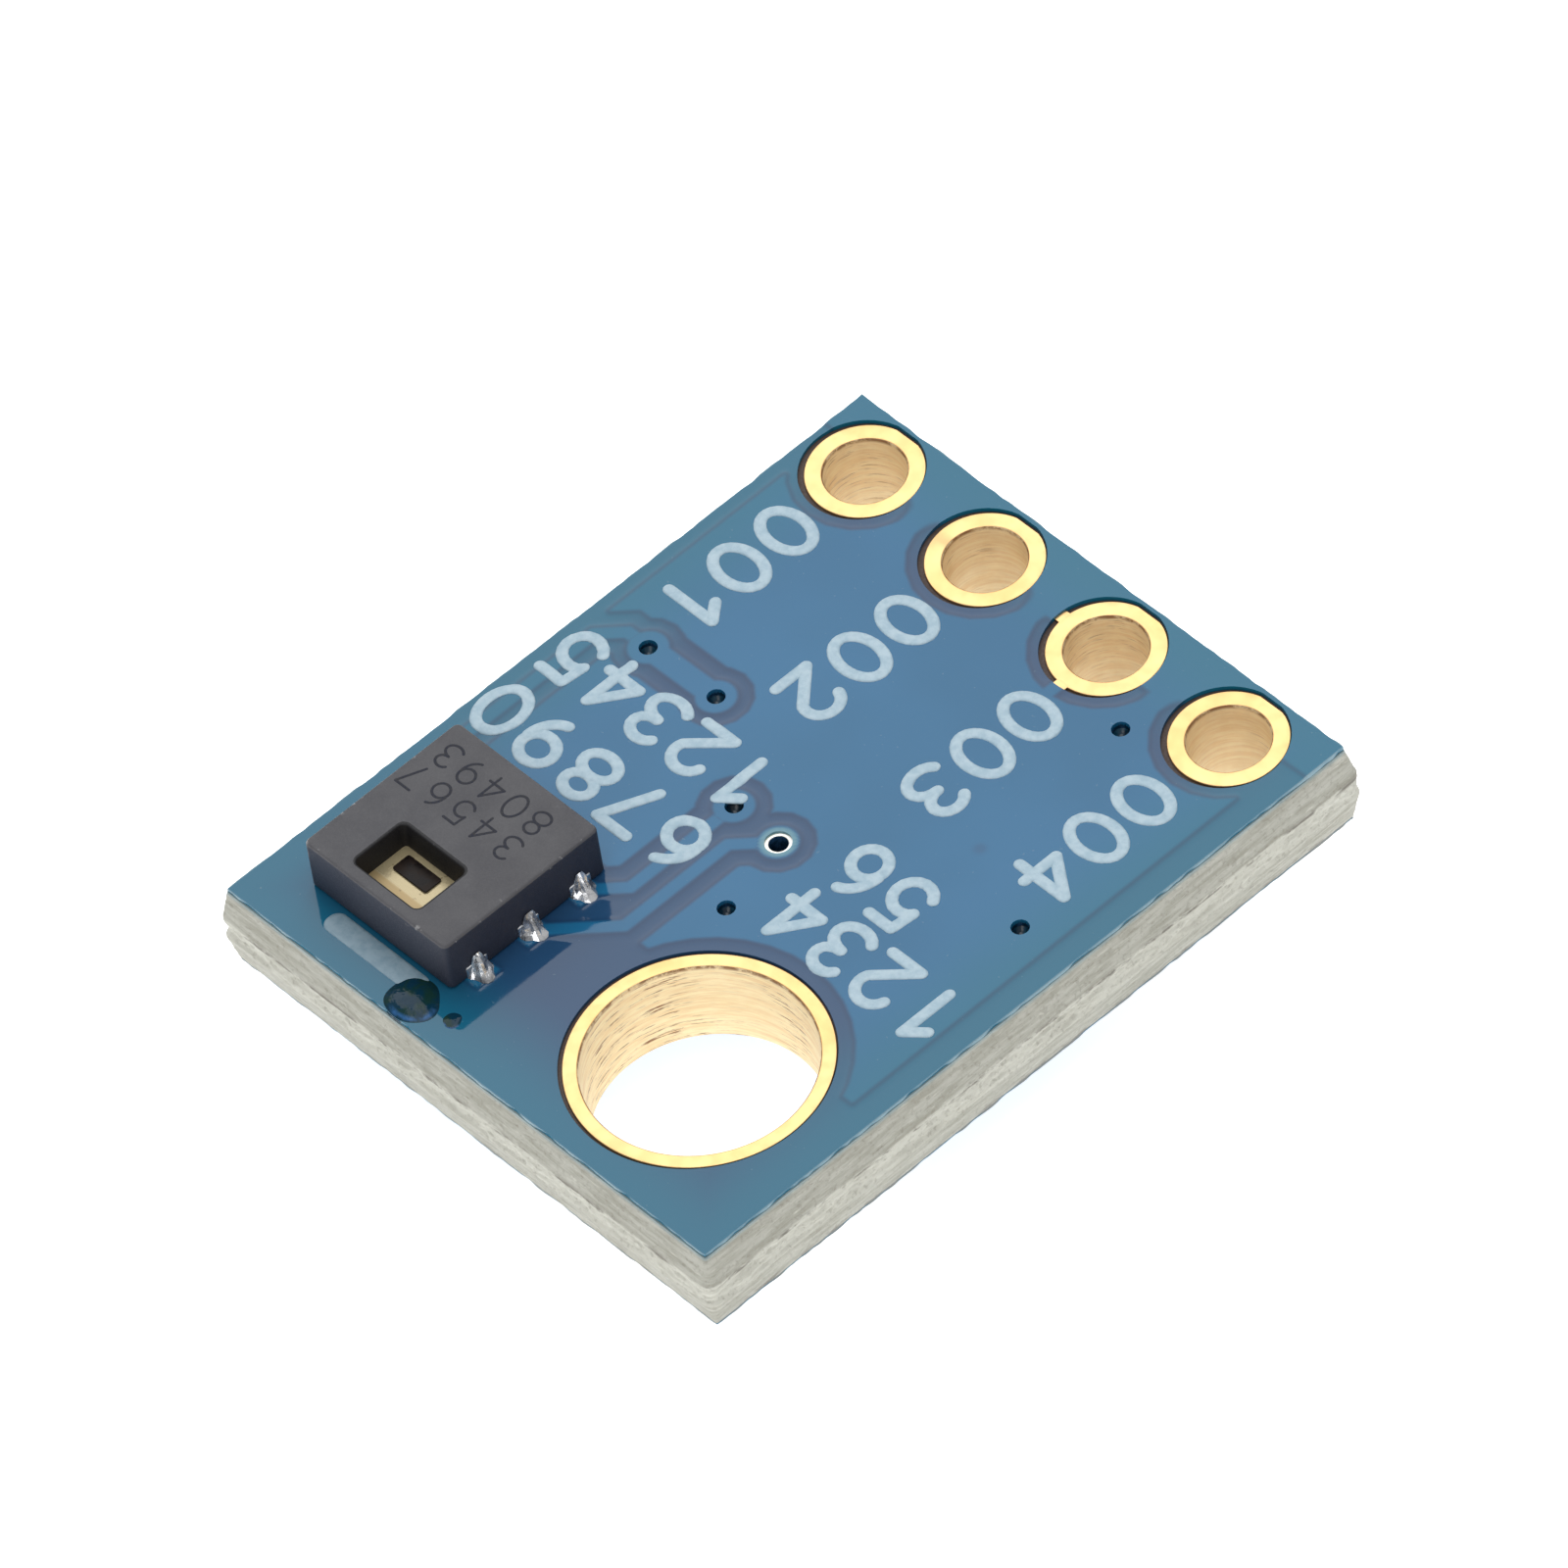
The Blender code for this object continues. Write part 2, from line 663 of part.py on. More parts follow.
def all_copper(face, grow, z_range):
    """Everything on one face that the mask lies over, grown by a margin."""
    pieces = [pour(face, grow, z_range)]
    pieces += [track(paths, pads, grow, z_range) for paths, pads in TRACKS[face].values()]
    pieces += [disc(place, VIA_LAND_RADIUS + grow, z_range, VIA_STEPS) for place in VIAS_SIGNAL]
    return pieces


def mask_openings(face, z_range):
    """Where the mask leaves lands, pads and vias bare."""
    pads = [pad for paths, pads in TRACKS[face].values() for pad in pads]
    if face == "top":
        front, middle, back = LEAD_ROWS
        pads += [lead_pad(-1, middle), lead_pad(-1, front), lead_pad(1, front)]
        pads.append(((SENSOR_X, SENSOR_Y), (PADDLE_WIDTH, PADDLE_LENGTH)))
    else:
        pads += [chip_pad(INPUT_CAPACITOR, -1), chip_pad(OUTPUT_CAPACITOR, 1), chip_pad(SENSOR_CAPACITOR, -1)]
        pads.append(regulator_pad(-1, REGULATOR_PITCH / 2))
    shift_x, shift_y = MASK_SHIFT
    tools = []
    rim = HALF_LENGTH - MASK_RIM
    beyond_levels = (z_range[0] - SEAT, z_range[1] + SEAT)
    for x, y in PIN_PLACES:
        opening = disc((x + shift_x, y + shift_y), PIN_LAND_RADIUS + MASK_RELIEF, z_range, PIN_STEPS)
        beyond = block((x - PIN_PITCH, x + PIN_PITCH), (rim, HALF_LENGTH + THROUGH), beyond_levels)
        tools.append(cut(opening, [beyond]))
    mount = (MOUNT_X + shift_x, MOUNT_Y + shift_y)
    tools.append(disc(mount, MOUNT_LAND_RADIUS + MASK_RELIEF, z_range, MOUNT_STEPS))
    for place in (*VIAS_SIGNAL, *VIAS_GROUND):
        ring = VIA_RING if place == VIA_SUPPLY else 0.0
        tools.append(disc(place, VIA_HOLE_RADIUS + ring, z_range, VIA_STEPS))
    tools += [plate(middle, (x + 2 * PAD_RELIEF, y + 2 * PAD_RELIEF), z_range) for middle, (x, y) in pads]
    return tools


def mask_layer(face):
    """The solder mask of one face: a thin coat over the laminate that steps up over the copper."""
    up = 1 if face == "top" else -1
    board = LAMINATE_HIGH if face == "top" else LAMINATE_LOW

    def levels(low, high):
        return tuple(sorted((board + up * low, board + up * high)))

    ground = (-HALF_WIDTH, HALF_WIDTH), (-HALF_LENGTH, HALF_LENGTH)
    coat = block(*ground, levels(SEAT, SEAT + MASK))
    over_copper = SEAT + COPPER + SEAT
    join(coat, all_copper(face, MASK, levels(SEAT, over_copper + MASK)))
    cut(coat, all_copper(face, SEAT, levels(-THROUGH, over_copper)))
    cut(coat, mask_openings(face, levels(-THROUGH, THROUGH)))
    part(f"solder_mask_{face}", coat, "mask")


def laminate():
    """The glass-fibre board with its scored and broken edges and all its holes."""
    flare = SCORE_DEPTH * math.tan(SCORE_ANGLE / 2)
    levels = [
        (LAMINATE_LOW, flare),
        (LAMINATE_LOW + SCORE_DEPTH, 0.0),
        (LAMINATE_HIGH - SCORE_DEPTH, 0.0),
        (LAMINATE_HIGH, flare),
    ]
    board = tapered(BOARD_WIDTH + 2 * flare, BOARD_LENGTH + 2 * flare, levels)
    through = (LAMINATE_LOW - THROUGH, LAMINATE_HIGH + THROUGH)
    drill = PLATING + SEAT
    tools = [disc(place, PIN_HOLE_RADIUS + drill, through, PIN_STEPS) for place in PIN_PLACES]
    tools.append(disc((MOUNT_X, MOUNT_Y), MOUNT_HOLE_RADIUS + drill, through, MOUNT_STEPS))
    via_drill = VIA_HOLE_RADIUS + VIA_PLATING + SEAT
    tools += [disc(place, via_drill, through, VIA_STEPS) for place in (*VIAS_SIGNAL, *VIAS_GROUND)]
    part("laminate_board", cut(board, tools), "laminate")


def barrel(hole, plating, land, steps):
    """A plated hole: a thin tube with a flat land at each end."""
    low, high = COPPER_LOW, COPPER_HIGH
    profile = [
        (hole, high),
        (hole, low),
        (land, low),
        (land, low + COPPER),
        (hole + plating, low + COPPER),
        (hole + plating, high - COPPER),
        (land, high - COPPER),
        (land, high),
    ]
    return turned(profile, steps)


def plated_holes():
    """The header row, the mounting hole and the vias."""
    pin = barrel(PIN_HOLE_RADIUS, PLATING, PIN_LAND_RADIUS, PIN_STEPS)
    through = (COPPER_LOW - THROUGH, COPPER_HIGH + THROUGH)
    pin = cut(pin, [block((-PIN_PITCH, PIN_PITCH), (PIN_LAND_FLAT, PIN_PITCH), through)])
    first = part("header_hole_1", pin, "gold", (*PIN_PLACES[0], 0.0))
    for number, place in enumerate(PIN_PLACES[1:], 2):
        copy_of(f"header_hole_{number}", first.data, (*place, 0.0))
    mount = barrel(MOUNT_HOLE_RADIUS, PLATING, MOUNT_LAND_RADIUS, MOUNT_STEPS)
    part("mounting_hole", mount, "gold", (MOUNT_X, MOUNT_Y, 0.0))
    via = barrel(VIA_HOLE_RADIUS, VIA_PLATING, VIA_LAND_RADIUS, VIA_STEPS)
    places = (*VIAS_SIGNAL, *VIAS_GROUND)
    first = part("via_1", via, "gold", (*places[0], 0.0))
    for number, place in enumerate(places[1:], 2):
        copy_of(f"via_{number}", first.data, (*place, 0.0))


def drafted(obj, levels, inset, sizes):
    """Narrows the lower end of an upright shape, which a mould's draft does to a pocket."""
    low, high = levels
    width, length = sizes
    for vert in obj.data.vertices:
        depth = (high - vert.co.z) / (high - low)
        vert.co.x *= 1 - 2 * inset * depth / width
        vert.co.y *= 1 - 2 * inset * depth / length
    return obj


def sensor_package():
    """The sensor: a moulded body round a paddle, a die and six leads, with a window down to the die."""
    top = SENSOR_BASE + SENSOR_HEIGHT
    die_low = SENSOR_BASE + PADDLE_HEIGHT + SEAT
    die_high = die_low + DIE_HEIGHT
    outline = rounded_outline(SENSOR_SIDE, SENSOR_SIDE, SENSOR_CORNER)
    body = eased(slab(outline, (SENSOR_BASE, top)), SENSOR_EDGE)
    window_x, window_y = WINDOW_SHIFT
    window_levels = (die_high - SEAT, top + SEAT)
    window = slab(rounded_outline(WINDOW_WIDTH, WINDOW_LENGTH, WINDOW_CORNER), window_levels)
    drafted(window, window_levels, WINDOW_DRAFT, (WINDOW_WIDTH, WINDOW_LENGTH))
    die_room = (DIE_WIDTH + 2 * SEAT, DIE_LENGTH + 2 * SEAT)
    paddle_room = (PADDLE_WIDTH + 2 * SEAT, PADDLE_LENGTH + 2 * SEAT)
    tools = [
        moved(window, window_x, window_y),
        plate(DIE_SHIFT, die_room, (die_low - SEAT, die_high + SEAT)),
        plate((0.0, 0.0), paddle_room, (SENSOR_BASE - THROUGH, die_low)),
    ]
    half = SENSOR_SIDE / 2
    for side in (-1, 1):
        inner, outer = side * (half - LEAD_LENGTH - SEAT), side * (half + THROUGH)
        for row in LEAD_ROWS:
            y = row - SENSOR_Y
            tools.append(block(
                (min(inner, outer), max(inner, outer)),
                (y - LEAD_WIDTH / 2 - SEAT, y + LEAD_WIDTH / 2 + SEAT),
                (SENSOR_BASE - THROUGH, SENSOR_BASE + LEAD_HEIGHT + SEAT),
            ))
    place = (SENSOR_X, SENSOR_Y, 0.0)
    part("sensor_body", cut(body, tools), "package", place)
    paddle = plate((0.0, 0.0), (PADDLE_WIDTH, PADDLE_LENGTH), (SENSOR_BASE, SENSOR_BASE + PADDLE_HEIGHT))
    part("sensor_paddle", paddle, "tin", place)
    part("sensor_die", plate(DIE_SHIFT, (DIE_WIDTH, DIE_LENGTH), (die_low, die_high)), "die", place)
    film_x, film_y = window_x + FILM_SHIFT[0], window_y + FILM_SHIFT[1]
    film_levels = (die_high + SEAT, die_high + SEAT + FILM_HEIGHT)
    part("humidity_film", plate((film_x, film_y), (FILM_WIDTH, FILM_LENGTH), film_levels), "film", place)


def fillet_outline(inner, wall, toe, height, foot):
    """Side of a solder fillet: a foot under the lead, and a hollow curve from the pad up the lead's face."""
    curve = [
        (
            toe - (toe - wall) * math.sin(math.pi / 2 * step / CORNER_STEPS),
            height - (height - FILLET_TOE) * math.cos(math.pi / 2 * step / CORNER_STEPS),
        )
        for step in range(CORNER_STEPS + 1)
    ]
    return [(inner, 0.0), (toe, 0.0), *curve, (wall, foot), (inner, foot)]


def sensor_leads():
    """Six leads flush with the sensor's foot, each with the solder that holds it to its pad."""
    lead = block((-LEAD_LENGTH, LEAD_PROUD), (-LEAD_WIDTH / 2, LEAD_WIDTH / 2), (0.0, LEAD_HEIGHT))
    lead = eased(lead, LEAD_PROUD / 2, 1)
    toe = LEAD_PROUD + FILLET_REACH
    outline = fillet_outline(-LEAD_LENGTH + PAD_SPARE, LEAD_PROUD + SEAT, toe, FILLET_HEIGHT, SOLDER)
    solder = eased(side_slab(outline, LEAD_WIDTH), SOLDER / 4, 1)
    solder_level = COPPER_HIGH + SEAT
    lead_mesh, solder_mesh = None, None
    places = [(1, row) for row in LEAD_ROWS] + [(-1, row) for row in LEAD_ROWS[::-1]]
    for number, (side, row) in enumerate(places, 1):
        x, turn = (SENSOR_RIGHT, 0.0) if side > 0 else (SENSOR_LEFT, math.pi)
        if lead_mesh is None:
            lead_mesh = part(f"sensor_lead_{number}", lead, "tin", (x, row, SENSOR_BASE), turn).data
            solder_mesh = part(f"sensor_solder_{number}", solder, "solder", (x, row, solder_level), turn).data
        else:
            copy_of(f"sensor_lead_{number}", lead_mesh, (x, row, SENSOR_BASE), turn)
            copy_of(f"sensor_solder_{number}", solder_mesh, (x, row, solder_level), turn)


def regulator():
    """The voltage regulator: a moulded body with draft on both halves, and three bent leads with their solder."""
    middle = REGULATOR_LIFT + REGULATOR_HEIGHT / 2
    body = eased(tapered(REGULATOR_WIDTH, REGULATOR_LENGTH, [
        (REGULATOR_LIFT, REGULATOR_DRAFT),
        (middle, 0.0),
        (REGULATOR_LIFT + REGULATOR_HEIGHT, REGULATOR_DRAFT),
    ]), REGULATOR_EDGE)
    half, reach = REGULATOR_WIDTH / 2, REGULATOR_SPAN / 2
    thick = REGULATOR_LEAD_THICK
    rows = [(1, 0.0), (-1, -REGULATOR_PITCH / 2), (-1, REGULATOR_PITCH / 2)]
    room = thick / 2 + SEAT
    tools = []
    for side, row in rows:
        inner, outer = side * (half - REGULATOR_LEAD_ROOT - SEAT), side * (half + THROUGH)
        across = REGULATOR_LEAD_WIDTH / 2 + SEAT
        tools.append(block(
            (min(inner, outer), max(inner, outer)), (row - across, row + across), (middle - room, middle + room)
        ))
    level = COPPER_LOW - SEAT
    part("regulator_body", cut(body, tools), "package", (REGULATOR_X, REGULATOR_Y, level), under=True)
    shank = [
        (half - REGULATOR_LEAD_ROOT, middle),
        (half + REGULATOR_SHOULDER, middle),
        (reach - REGULATOR_FOOT, thick / 2),
        (reach, thick / 2),
    ]
    lead = side_slab(strip_outline(shank, thick), REGULATOR_LEAD_WIDTH)
    toe = reach + REGULATOR_SOLDER_REACH
    fillet = fillet_outline(reach - REGULATOR_FOOT / 2, reach - SOLDER_LAP, toe, REGULATOR_SOLDER_HEIGHT, thick / 2)
    join(lead, [side_slab(fillet, REGULATOR_LEAD_WIDTH + SEAT)])
    mesh = None
    for number, (side, row) in enumerate(rows, 1):
        place = (REGULATOR_X, REGULATOR_Y + row, level)
        turn = 0.0 if side > 0 else math.pi
        if mesh is None:
            mesh = part(f"regulator_lead_{number}", lead, "tin", place, turn, under=True).data
        else:
            copy_of(f"regulator_lead_{number}", mesh, place, turn, under=True)


def chip(name, place, height, material):
    """A chip part on the underside: a ceramic block with a soldered metal cap on each end."""
    x, y, turn = place
    wall = CHIP_END_WALL + SEAT
    half, across = CHIP_LENGTH / 2, CHIP_WIDTH / 2
    block_half, block_across = half - wall, across - wall
    ceramic = eased(
        block((-block_half, block_half), (-block_across, block_across), (wall, height - wall)), CHIP_EDGE, 1
    )
    level = COPPER_LOW - SEAT
    part(f"{name}_body", ceramic, material, (x, y, level), turn, under=True)
    cap = eased(block((half - CHIP_END, half), (-across, across), (0.0, height)), CHIP_EDGE, 1)
    room = block((0.0, block_half + SEAT), (-block_across - SEAT, block_across + SEAT),
                 (wall - SEAT, height - wall + SEAT))
    cut(cap, [room])
    fillet = fillet_outline(
        half - SOLDER_LAP, half - SOLDER_LAP, half + CHIP_SOLDER_REACH, height * CHIP_SOLDER_CLIMB, CHIP_EDGE
    )
    join(cap, [side_slab(fillet, CHIP_WIDTH - 2 * CHIP_EDGE)])
    end = part(f"{name}_end_1", cap, "solder", (x, y, level), turn, under=True)
    copy_of(f"{name}_end_2", end.data, (x, y, level), turn + math.pi, under=True)


def build():
    laminate()
    copper_layer("top", (LAMINATE_HIGH + SEAT, COPPER_HIGH))
    copper_layer("under", (COPPER_LOW, COPPER_LOW + COPPER))
    mask_layer("top")
    mask_layer("under")
    plated_holes()
    sensor_package()
    sensor_leads()
    regulator()
    for name, place in (("input", INPUT_CAPACITOR), ("output", OUTPUT_CAPACITOR), ("sensor", SENSOR_CAPACITOR)):
        chip(f"{name}_capacitor", place, CAPACITOR_HEIGHT, "ceramic")
    for name, place in (("clock", CLOCK_RESISTOR), ("data", DATA_RESISTOR)):
        chip(f"{name}_resistor", place, RESISTOR_HEIGHT, "resistor")


clear_scene()
MODULE = new_collection("temperature_humidity_sensor_module")
DRAFTING = new_collection("drafting")
DRAFTING.hide_render = True
FRAME = bpy.data.objects.new("module_frame", None)
MODULE.objects.link(FRAME)
MATERIALS = {
    "laminate": finish_material("glass_fibre_laminate", (0.55, 0.52, 0.42), 0.7),
    "mask": finish_material("blue_solder_mask", (0.07, 0.17, 0.26), 0.25),
    "copper": finish_material("copper_foil", (0.72, 0.38, 0.22), 0.35, 1.0),
    "gold": finish_material("gold_plate", (1.0, 0.78, 0.38), 0.3, 1.0),
    "tin": finish_material("tinned_lead", (0.75, 0.75, 0.76), 0.35, 1.0),
    "solder": finish_material("solder", (0.82, 0.82, 0.84), 0.2, 1.0),
    "package": finish_material("moulded_package", (0.045, 0.045, 0.05), 0.5),
    "die": finish_material("plated_die", (0.75, 0.66, 0.42), 0.3, 1.0),
    "film": finish_material("polymer_film", (0.03, 0.025, 0.03), 0.3),
    "ceramic": finish_material("capacitor_ceramic", (0.48, 0.36, 0.24), 0.5),
    "resistor": finish_material("resistor_substrate", (0.8, 0.8, 0.78), 0.5),
}
TRACKS = {"top": top_tracks(), "under": under_tracks()}
build()
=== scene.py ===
"""Looks of the temperature and humidity sensor module, laid out as a Blender add-on that runs as a script.

Every new piece is a surface worked out with numpy, in millimetres, and brought to the CAD frame's metres when its
mesh is made. The CAD frame gives the places; the settings give the sizes and colours that a user would change.
"""

import math

import bmesh
import bpy
import numpy as np
from mathutils import Matrix, Vector


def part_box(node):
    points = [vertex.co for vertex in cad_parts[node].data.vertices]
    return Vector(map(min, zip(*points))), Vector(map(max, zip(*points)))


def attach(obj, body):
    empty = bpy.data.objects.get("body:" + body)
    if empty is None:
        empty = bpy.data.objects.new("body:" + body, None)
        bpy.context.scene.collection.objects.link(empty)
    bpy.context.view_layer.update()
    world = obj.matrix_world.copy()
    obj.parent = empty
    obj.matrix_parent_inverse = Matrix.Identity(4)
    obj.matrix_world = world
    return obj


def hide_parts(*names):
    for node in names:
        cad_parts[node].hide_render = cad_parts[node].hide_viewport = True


bl_info = {
    "name": "Sensor module looks",
    "version": (1, 0, 0),
    "blender": (4, 5, 0),
    "location": "View3D > Sidebar > Sensor module",
    "description": "Builds the visible pieces of a temperature and humidity sensor module",
    "category": "Object",
}

MM = 0.001
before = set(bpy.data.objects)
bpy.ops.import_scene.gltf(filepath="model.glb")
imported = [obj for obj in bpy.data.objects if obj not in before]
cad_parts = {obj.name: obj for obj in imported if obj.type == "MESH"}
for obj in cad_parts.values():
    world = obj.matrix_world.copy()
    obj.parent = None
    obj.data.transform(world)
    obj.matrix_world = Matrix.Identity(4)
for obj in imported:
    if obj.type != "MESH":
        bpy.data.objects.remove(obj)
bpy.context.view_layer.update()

HEADER_HOLES = [f"header_hole_{number}" for number in range(1, 5)]
SPOKED_HOLE, SCUFFED_HOLE = "header_hole_3", "header_hole_2"
VIAS = [f"via_{number}" for number in range(1, 8)]
DATA_VIAS, OPEN_VIA, GROUND_VIAS = VIAS[:2], "via_4", VIAS[4:]
TOP_COPPER = ["ground_copper_top", "data_track_top", "clock_track_top", "supply_track_top"]
UNDER_COPPER = [
    "ground_copper_under", "data_track_under", "clock_track_under", "supply_track_under", "input_track_under",
]
CHIPS = ["input_capacitor", "output_capacitor", "sensor_capacitor", "clock_resistor", "data_resistor"]


def box_mm(name):
    """Lowest and highest corner of a CAD node, in millimetres."""
    low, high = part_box(name)
    return np.array(low) / MM, np.array(high) / MM


def middle_mm(name):
    """Middle of a CAD node, in millimetres."""
    low, high = box_mm(name)
    return (low + high) / 2


def land_radius(name):
    """Half the width of a via's CAD node, which is its land's radius."""
    return np.ptp(box_mm(name), axis=0)[0] / 2


def hole_middle(name, holes):
    """Middle of a plated hole in X and Y. A header hole's land is cut flat at its far side, so it counts from the near
    one."""
    middle = middle_mm(name)[:2]
    if name in HEADER_HOLES:
        middle[1] = box_mm(name)[0][1] + holes["pin_land"]
    return middle


def linear(red, green, blue):
    """A colour given as three numbers up to 255 in linear light: ((c / 255 + 0.055) / 1.055) to the power 2.4."""
    share = np.array((red, green, blue)) / 255
    return tuple(np.where(share <= 0.04045, share / 12.92, ((share + 0.055) / 1.055) ** 2.4))


# Levels and places that the CAD frame gives
MASK_HIGH, UNDER_MASK_LOW = box_mm("solder_mask_top")[1], box_mm("solder_mask_under")[0]
BOARD_LOW, BOARD_HIGH = box_mm("laminate_board")
BODY_LOW, BODY_HIGH = box_mm("sensor_body")
DIE_LOW, DIE_HIGH = box_mm("sensor_die")
FILM_LOW, FILM_HIGH = box_mm("humidity_film")

# Small sizes and places that a user wouldn't change, in millimetres
GROUND_SPREAD = 0.05  # how much wider than its land a ground via shows through the mask
PLAIN_STRIP_Y, PLAIN_STRIP_BLEND, PLAIN_STRIP_DEPTH = 4.7, 1.0, 0.1  # where the mask lies level at the header edge
MASK_BACK_GAP = 0.004  # from the laminate to the mask's back
NO_COPPER, COPPER_REACH = -9.0, 0.5  # a depth that stands for no copper, and the furthest depth that the finish reads
HALO_SHARE, HALO_BLEND = 0.6, 0.06  # how much the thin lacquer round the open via shows, and the width of its edge
BLEMISH_SHARE, BLEMISH_RING, BLEMISH_BLEND = 0.4, 0.04, 0.06  # how much the faint mark shows, its radius and its edge
HEADER_OPENING_LIMIT = 6.165  # furthest Y of the mask's openings round the header lands
SPOKE_REACH = 0.03  # from a land's edge to the middle of its spoke
SCUFF_TURN, SCUFF_WIDTH = -167, 0.15  # direction of the dull scuff in degrees, and its width in radians
PLUG_DEPTH = 0.22  # from the mask's top down to the lacquer in a via
BAR_MIDDLE, BAR_HALF = (-2.53, -5.61), (1.02, 0.19)  # place of the printed bar, and half its length and width

# Rows of figures: where the first one starts, the step to the next, and a figure's width and height
LABEL_PLACES = ((-4.4, 4.02), (-1.85, 4.02), (0.8, 3.95), (3.16, 3.95))
PRINTED_ROWS = (
    ((-0.66, 0.48), 0.88, (0.62, 0.88)), ((-0.5, -0.9), 0.93, (0.64, 0.86)),
    ((4.5, -0.68), 0.9, (0.62, 0.92)), ((2.75, 0.5), 0.9, (0.6, 0.9)),
)
ENGRAVED_ROWS = (((-1.76, -3.26), 0.5, (0.3, 0.44)), ((-1.78, -2.67), 0.47, (0.3, 0.44)))

# Drops of flux: middle, radius, rise, and the turn of the outline's waves
DROPS = (((-1.5, -5.84), 0.43, 0.1, 0.6), ((-0.8, -5.72), 0.16, 0.03, 2.0))

# The stage, in metres and watts: half the floor's side, the room's light, each lamp's place, width and power, and the
# camera's place with its axes to the right, up and back
FLOOR_HALF, ROOM_LIGHT = 1.5, 0.36
LIGHTS = (
    ("overhead", (0.02, 0.0, 0.2), 0.16, 0.11),
    ("back_panel", (-0.122, 0.087, 0.172), 0.24, 0.24),
    ("side_spark", (0.19, 0.07, 0.07), 0.07, 0.022),
    ("front_panel", (0.062, -0.125, 0.13), 0.1, 0.034),
    ("low_panel", (0.05, -0.18, 0.03), 0.05, 0.032),
)
CAMERA_LENS, CAMERA_PLACE = 496.286, (0.163512, -0.116967, 0.23541)
CAMERA_AXES = (
    (0.67762088, 0.72702862, -0.11072184), (-0.50724927, 0.57107174, 0.64542641), (0.53247358, -0.38119084, 0.75575487),
)


# ---------------------------------------------------------------- numpy surfaces


def grid_faces(rows, columns, around=False, ends=False):
    """Four-sided faces of a grid of points, row after row; around joins the last column to the first, and ends the
    last row to the first."""
    numbers = np.arange(rows * columns).reshape(rows, columns)
    if around:
        numbers = np.hstack([numbers, numbers[:, :1]])
    if ends:
        numbers = np.vstack([numbers, numbers[:1]])
    corners = numbers[:-1, :-1], numbers[:-1, 1:], numbers[1:, 1:], numbers[1:, :-1]
    return np.stack(corners, axis=-1).reshape(-1, 4)


def rounded_rectangle(half_x, half_y, radius, bend=6, side=1):
    """Points anticlockwise round a rectangle and the outward direction at each: a quarter circle about each corner's
    centre, and evenly spaced points along each side between them."""
    angles = np.linspace(0, math.pi / 2, bend + 1)
    points, outward = [], []
    for turn, (sign_x, sign_y) in enumerate(((1, 1), (-1, 1), (-1, -1), (1, -1))):
        around = angles + turn * math.pi / 2
        direction = np.column_stack([np.cos(around), np.sin(around)])
        centre = np.array([sign_x * (half_x - radius), sign_y * (half_y - radius)])
        points.append(centre + radius * direction)
        outward.append(direction)
    ring, ways = [], []
    for corner in range(4):
        share = np.linspace(0, 1, side + 1)[1:-1, None]
        after = points[(corner + 1) % 4][0]
        ring += [points[corner], points[corner][-1] * (1 - share) + after * share]
        ways += [outward[corner], np.repeat(outward[corner][-1:], side - 1, axis=0)]
    return np.vstack(ring), np.vstack(ways)


def circle(steps):
    """Directions anticlockwise round a circle: (cos a, sin a) for evenly spaced a."""
    angles = np.arange(steps) * 2 * math.pi / steps
    return np.column_stack([np.cos(angles), np.sin(angles)])


def carried(ring, ways, profile):
    """A profile carried round a ring: point (i, j) is ring point j moved outwards by the profile's first number i, at
    the height of its second."""
    profile = np.asarray(profile, dtype=float)
    flat = ring[None, :, :] + profile[:, None, :1] * ways[None, :, :]
    height = np.broadcast_to(profile[:, None, 1:], flat.shape[:2] + (1,))
    return np.concatenate([flat, height], axis=2)


def tube(rings, ends=False):
    """Points and faces of rings stacked into a skin, closed by a face on the first and the last ring, or joined end to
    end."""
    rows, columns = rings.shape[:2]
    faces = grid_faces(rows, columns, around=True, ends=ends).tolist()
    if not ends:
        faces.append(list(range(columns))[::-1])
        faces.append(list(range((rows - 1) * columns, rows * columns)))
    return rings.reshape(-1, 3), faces


def quarter(start, end, steps, turned=False):
    """A quarter of an ellipse between two profile points: it leaves the first along the second number, or along the
    first number if turned."""
    angles = np.linspace(0, math.pi / 2, steps + 1)[:, None]
    start, end = np.array(start, dtype=float), np.array(end, dtype=float)
    away, across = np.eye(2)[::-1] if turned else np.eye(2)
    reach = end - start
    return start + (1 - np.cos(angles)) * reach * away + np.sin(angles) * reach * across


def soft_block(centre, half, edge, corner, along_x=False):
    """A block with rounded edges: rings of a rounded rectangle, inset at both ends by a quarter circle of the edge's
    radius, and stacked along Z, or along X with its sizes given as Y, Z and X."""
    length, width, height = half
    ring, ways = rounded_rectangle(length, width, corner, 4)
    profile = np.vstack([
        quarter((-edge, -height), (0, -height + edge), 3, turned=True),
        quarter((0, height - edge), (-edge, height), 3),
    ])
    rings = carried(ring, ways, profile)
    if along_x:
        rings = rings[..., [2, 0, 1]]
    return tube(rings + np.array(centre))


def lattice_noise(along, across, seed):
    """Smooth noise between -1 and 1: fixed random heights on whole-number places, blended by 3t^2 - 2t^3 between."""
    table = np.random.default_rng(seed).uniform(-1, 1, (256, 256))
    column, row = np.floor(along).astype(int), np.floor(across).astype(int)
    right, up = along - column, across - row
    right, up = right * right * (3 - 2 * right), up * up * (3 - 2 * up)
    low = table[row % 256, column % 256] * (1 - right) + table[row % 256, (column + 1) % 256] * right
    high = table[(row + 1) % 256, column % 256] * (1 - right) + table[(row + 1) % 256, (column + 1) % 256] * right
    return low * (1 - up) + high * up


def smooth_step(value):
    """0 below 0, 1 above 1, and 3t^2 - 2t^3 between."""
    share = np.clip(value, 0, 1)
    return share * share * (3 - 2 * share)


